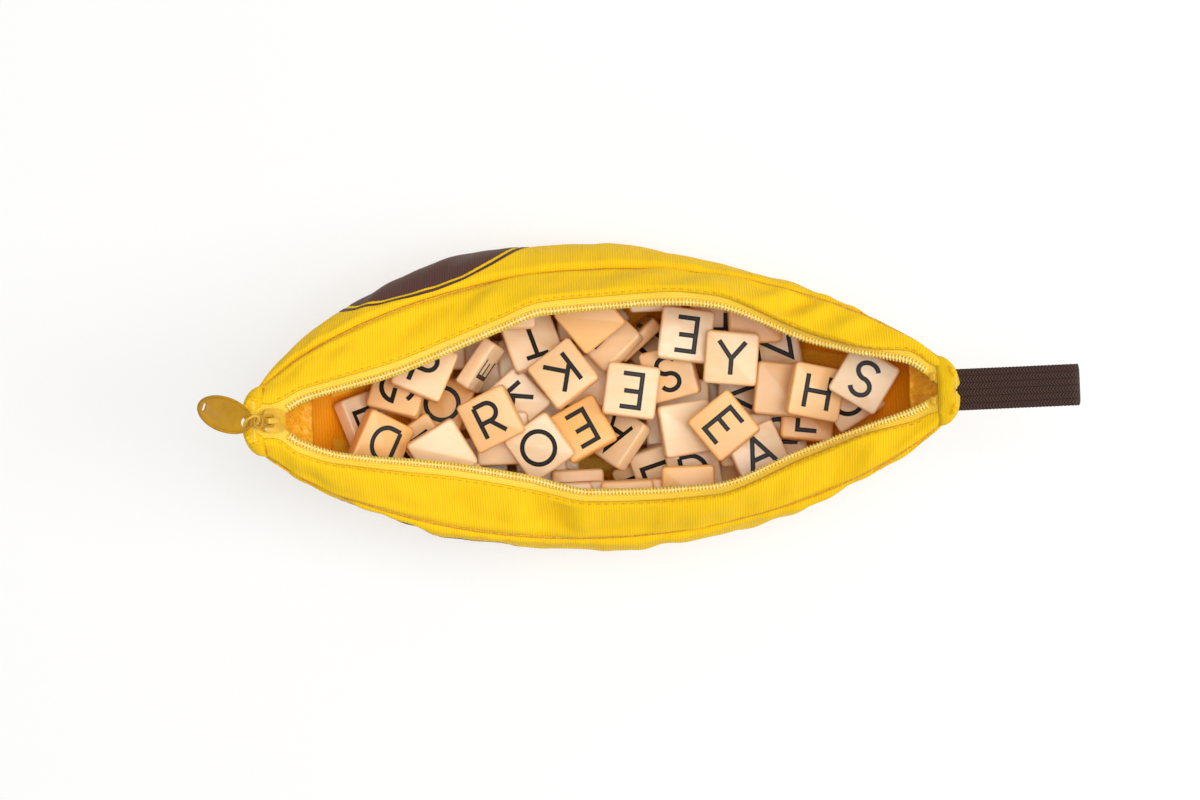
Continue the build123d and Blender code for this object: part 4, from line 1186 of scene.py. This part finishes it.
def ribbon(line, width):
    """Flat ribbon along a line: its two edges, and the faces between them."""
    line = np.array(line, float)
    closed = np.linalg.norm(line[0] - line[-1]) < 1e-6
    if closed:
        line = line[:-1]
    before = line - np.roll(line, 1, axis=0)
    after = np.roll(line, -1, axis=0) - line
    if not closed:
        before[0], after[-1] = after[0], before[-1]
    before, after = unit(before), unit(after)
    middle = unit(before + after)
    side = np.stack([-middle[:, 1], middle[:, 0]], -1)
    stretch = 1 / np.maximum((side * np.stack([-after[:, 1], after[:, 0]], -1)).sum(axis=1), 0.35)
    offset = side * (width / 2 * stretch)[:, None]
    points = np.concatenate([line + offset, line - offset])
    n = len(line)
    faces = [(i, i + n, (i + 1) % n + n, (i + 1) % n) for i in range(n if closed else n - 1)]
    return points, faces


def islands(work):
    """Connected vertices of a bmesh, one list for each solid."""
    seen = set()
    for start in work.verts:
        if start.index in seen:
            continue
        seen.add(start.index)
        island, queue = [], [start]
        while queue:
            vertex = queue.pop()
            island.append(vertex)
            for edge in vertex.link_edges:
                other = edge.other_vert(vertex)
                if other.index not in seen:
                    seen.add(other.index)
                    queue.append(other)
        yield island


def tile_frames(node):
    """Middle and axes of every tile of a node, in millimetres."""
    work = bmesh.new()
    work.from_mesh(frame["nodes"][node].data)
    bmesh.ops.remove_doubles(work, verts=work.verts, dist=2e-6)
    work.verts.ensure_lookup_table()
    frames = []
    for island in islands(work):
        points = np.array([v.co for v in island]) / MM
        _, _, axes = np.linalg.svd(points - points.mean(axis=0), full_matrices=False)
        thin = axes[2] if axes[2][2] >= 0 else -axes[2]
        sides = {face.index: face for vertex in island for face in vertex.link_faces
                 if abs(Vector(thin).dot(face.normal)) < 0.1}
        widest = max(sides.values(), key=lambda face: (round(face.calc_area() * 1e9), -face.index))
        first = np.array(widest.normal)
        first = first - thin * (first @ thin)
        first /= np.linalg.norm(first)
        frames.append((points.mean(axis=0), first, np.cross(thin, first), thin))
    work.free()
    return sorted(frames, key=lambda item: tuple(np.round(item[0], 2)))


# letters in the order in which tiles take them; a space leaves a tile's back up
LETTERS = "KTOE IARHNLUS EDGBPO EIMTC WFYVAZ UEHOSRTD"
TILE, TILE_THICK = 19.4, 5.3
CORNER_ROUND = 1.7  # a tile's upright edges are this much rounder than the others


def rounded_tile(round_edge):
    """One tile with rounded edges, and which points lie at its edges."""
    work = bmesh.new()
    bmesh.ops.create_cube(work, size=1.0, matrix=Matrix.Diagonal((TILE, TILE, TILE_THICK, 1)))
    upright = [e for e in work.edges if abs(e.verts[0].co.z - e.verts[1].co.z) > 1]
    bmesh.ops.bevel(work, geom=upright, offset=CORNER_ROUND * round_edge, segments=4, profile=0.5,
                    affect="EDGES")
    around = [e for e in work.edges if abs(e.verts[0].co.z - e.verts[1].co.z) < 0.01]
    bmesh.ops.bevel(work, geom=around, offset=round_edge, segments=3, profile=0.5, affect="EDGES")
    bmesh.ops.triangulate(work, faces=[f for f in work.faces if len(f.verts) > 4])
    # beveling leaves points and faces in an order that changes from run to run, so they are sorted
    order = sorted(work.verts, key=lambda v: tuple(round(c, 4) for c in v.co))
    number = {v: k for k, v in enumerate(order)}
    faces = sorted(([number[v] for v in f.verts] for f in work.faces), key=sorted)
    points = np.array([v.co for v in order])
    flat = np.abs(np.abs(points[:, 2]) - TILE_THICK / 2) < 0.01
    work.free()
    return points, faces, 1.0 - flat


# heights over the tile's face; each stroke lies a little over the last, and the painted highlight over the black
# fill
FILL_LIFT, HIGHLIGHT_LIFT, STROKE_LIFT = 0.03, 0.05, 0.004
# width of the painted highlight line
HIGHLIGHT_WIDTH = 0.32


def letter_strokes(letter, turn, sizes):
    """Flat ribbons of a letter on a level tile, the black fill first and then a painted highlight, a lighter line
    down its middle for the lit centre of the engraved stroke.
    """
    lines = letter_lines()[letter]
    wide = max(point[0] for line in lines for point in line)
    spin = np.array([[cos(turn), sin(turn)], [-sin(turn), cos(turn)]])
    for lift, width, kind in ((FILL_LIFT, sizes.letter_stroke, 1), (HIGHLIGHT_LIFT, HIGHLIGHT_WIDTH, 2)):
        for k, line in enumerate(lines):
            flat, faces = ribbon((np.array(line) - (wide / 2, 0.5)) * sizes.letter_height, width)
            level = np.full((len(flat), 1), TILE_THICK / 2 + lift + STROKE_LIFT * k)
            yield np.concatenate([flat @ spin, level], 1), faces, kind


def tile_piece(name, node, lettered, seed, sizes):
    """All tiles of a node, with letters on the faces that look up."""
    shape, tile_faces, at_edge = rounded_tile(sizes.tile_round)
    random = np.random.RandomState(seed)
    points, faces, kinds, tints, edges = [], [], [], [], []

    def add(rows, some_faces, kind, edge):
        base = sum(len(p) for p in points)
        points.append(middle + rows @ axes)
        faces.extend([[base + k for k in face] for face in some_faces])
        kinds.extend([kind] * len(some_faces))
        tints.extend([tint] * len(rows))
        edges.extend(list(edge))

    for number, (middle, first, second, thin) in enumerate(tile_frames(node)):
        axes = np.array([first, second, thin])
        tint = random.uniform(0.0, 1.0) ** 2
        add(shape, tile_faces, 0, at_edge)
        letter = LETTERS[(seed * 7 + number) % len(LETTERS)]
        if lettered and letter != " ":
            for rows, some_faces, kind in letter_strokes(letter, radians(90 * random.randint(4)), sizes):
                add(rows, some_faces, kind, [0.0] * len(rows))
    coats = [finish("tile"), finish("letter"), finish("painted_highlight")]
    piece = plain_mesh(name, np.concatenate(points), faces, coats, kinds)
    # edge marks the points on a tile's rounded edges, where the tile finish paints shade
    for label, values in (("tint", tints), ("edge", edges)):
        layer = piece.data.attributes.new(label, "FLOAT", "POINT")
        layer.data.foreach_set("value", np.asarray(values, np.float32))
    letters_up(piece)
    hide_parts(node)
    return piece


def letters_up(piece):
    """Letter faces look the same way as the tile face under them."""
    work = bmesh.new()
    work.from_mesh(piece.data)
    turned = [f for f in work.faces if f.material_index > 0 and f.normal.z < 0]
    bmesh.ops.reverse_faces(work, faces=turned)
    work.to_mesh(piece.data)
    work.free()


class LetterTiles(bpy.types.Operator):
    """Every tile of the heap, with letters on those that can be seen"""

    bl_idname = "tile_pouch.tiles"
    bl_label = "Letter tiles"

    def execute(self, context):
        sizes = context.scene.tile_pouch_sizes
        for node in sorted(frame["nodes"]):
            if node.startswith("tiles_"):
                seed = sum(map(ord, node)) % 97
                lettered = node.startswith("tiles_top")
                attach(tile_piece(f"{node}_plastic", node, lettered, seed, sizes), "pouch")
            elif node.startswith("loose_tile"):
                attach(tile_piece(f"{node}_plastic", node, True, 3 + 5 * int(node[-1]), sizes), node)
        return {"FINISHED"}


# ---- stage ----------------------------------------------------------------------------------
# name, place in metres, width in metres, watts
LAMPS = (("key softbox", (1.2, -0.15, 1.25), 0.9, 10.0), ("top softbox", (0.2, 0.1, 2.1), 1.2, 22.2))
WORLD_LIGHT, FLOOR_GLOW = 0.36, 0.6
FLOOR_HALF = 4000.0
CAMERA_PLACE, CAMERA_ROLL, FOCAL_LENGTH = (-0.0005, 0.0021, 1.082), -2.58, 85.0


class Stage(bpy.types.Operator):
    """Pale floor, soft studio light and the camera over the pouch"""

    bl_idname = "tile_pouch.stage"
    bl_label = "Stage"

    def execute(self, context):
        scene = context.scene
        corners = [(FLOOR_HALF * x, FLOOR_HALF * y, 0) for x, y in ((-1, -1), (1, -1), (1, 1), (-1, 1))]
        floor = plain_mesh("floor", corners, [(0, 1, 2, 3)], [pale_floor()])
        for name, place, width, power in LAMPS:
            lamp = bpy.data.lights.new(name, "AREA")
            lamp.shape, lamp.size, lamp.energy = "DISK", width, power
            holder = placed(name, lamp)
            holder.location = place
            holder.rotation_euler = (-Vector(place)).to_track_quat("-Z", "Y").to_euler()
        scene.world = studio_world()
        scene.view_settings.view_transform = "Standard"
        lens = bpy.data.cameras.new("camera")
        lens.lens, lens.sensor_width, lens.clip_end = FOCAL_LENGTH, 36.0, 20.0
        scene.camera = placed("camera", lens)
        scene.camera.location = CAMERA_PLACE
        scene.camera.rotation_euler = (0, 0, radians(CAMERA_ROLL))
        return {"FINISHED"}


def studio_world():
    """White all round where it is seen, and a weaker light."""
    world = bpy.data.worlds.new("studio")
    world.use_nodes = True
    tree = world.node_tree
    tree.nodes.clear()
    strength = add_node(tree, "ShaderNodeMapRange", {
        "Value": seen_directly(tree), "To Min": WORLD_LIGHT, "To Max": 1.0})
    sky = add_node(tree, "ShaderNodeBackground", {"Color": "#FFFFFF", "Strength": strength})
    add_node(tree, "ShaderNodeOutputWorld", {"Surface": sky})
    return world


def seen_directly(tree):
    """1 where the camera or a glossy surface looks at it, 0 where it only gives light."""
    seen = add_node(tree, "ShaderNodeLightPath").outputs
    return add_node(tree, "ShaderNodeMath", {0: seen["Is Camera Ray"], 1: seen["Is Glossy Ray"]},
                    operation="MAXIMUM")


def pale_floor():
    """White paper sweep: matte, lit through from below so that shadows on it stay faint."""
    made = new_finish("white_paper_sweep", 0.9)
    tree, shader = made[1:]
    share = add_node(tree, "ShaderNodeMath", {0: seen_directly(tree), 1: FLOOR_GLOW}, operation="MULTIPLY")
    glow = add_node(tree, "ShaderNodeEmission", {"Color": "#FFFFFF", "Strength": 1.0})
    both = add_node(tree, "ShaderNodeMixShader", {0: share, 1: shader, 2: glow})
    tree.links.new(both.outputs[0], tree.nodes["Material Output"].inputs["Surface"])
    place = add_node(tree, "ShaderNodeTexCoord").outputs["Object"]
    grain = add_node(tree, "ShaderNodeTexNoise", {"Vector": place, "Scale": 900.0, "Detail": 2.0})
    colour = add_node(tree, "ShaderNodeMix", {0: grain, 6: "#FCFBFA", 7: "#FFFFFF"}, data_type="RGBA")
    return finished(made, colour.outputs[2], grain, 0.02, 0.1)


class TilePouchPanel(bpy.types.Panel):
    bl_label = "Tile pouch"
    bl_idname = "VIEW3D_PT_tile_pouch"
    bl_space_type = "VIEW_3D"
    bl_region_type = "UI"
    bl_category = "Tile pouch"

    def draw(self, context):
        for step in STEPS:
            self.layout.operator(step.bl_idname)
        for group in (context.scene.tile_pouch_sizes, context.scene.tile_pouch_colours):
            for key in group.bl_rna.properties.keys():
                if key not in ("rna_type", "name"):
                    self.layout.prop(group, key)


STEPS = (Stage, SidePanels, Lips, ZipCoil, Stitching, Badges, ZipHardware, Strap, EndFolds, LetterTiles)
CLASSES = (TilePouchColours, TilePouchSizes, *STEPS, TilePouchPanel)


def register():
    for kind in CLASSES:
        bpy.utils.register_class(kind)
    bpy.types.Scene.tile_pouch_colours = bpy.props.PointerProperty(type=TilePouchColours)
    bpy.types.Scene.tile_pouch_sizes = bpy.props.PointerProperty(type=TilePouchSizes)


def unregister():
    del bpy.types.Scene.tile_pouch_colours
    del bpy.types.Scene.tile_pouch_sizes
    for kind in reversed(CLASSES):
        bpy.utils.unregister_class(kind)


def main():
    register()
    bpy.ops.tile_pouch.stage()
    bpy.ops.tile_pouch.panels()
    bpy.ops.tile_pouch.lips()
    bpy.ops.tile_pouch.coil()
    bpy.ops.tile_pouch.stitching()
    bpy.ops.tile_pouch.badges()
    bpy.ops.tile_pouch.hardware()
    bpy.ops.tile_pouch.strap()
    bpy.ops.tile_pouch.end_folds()
    bpy.ops.tile_pouch.tiles()


if __name__ == "__main__":
    main()
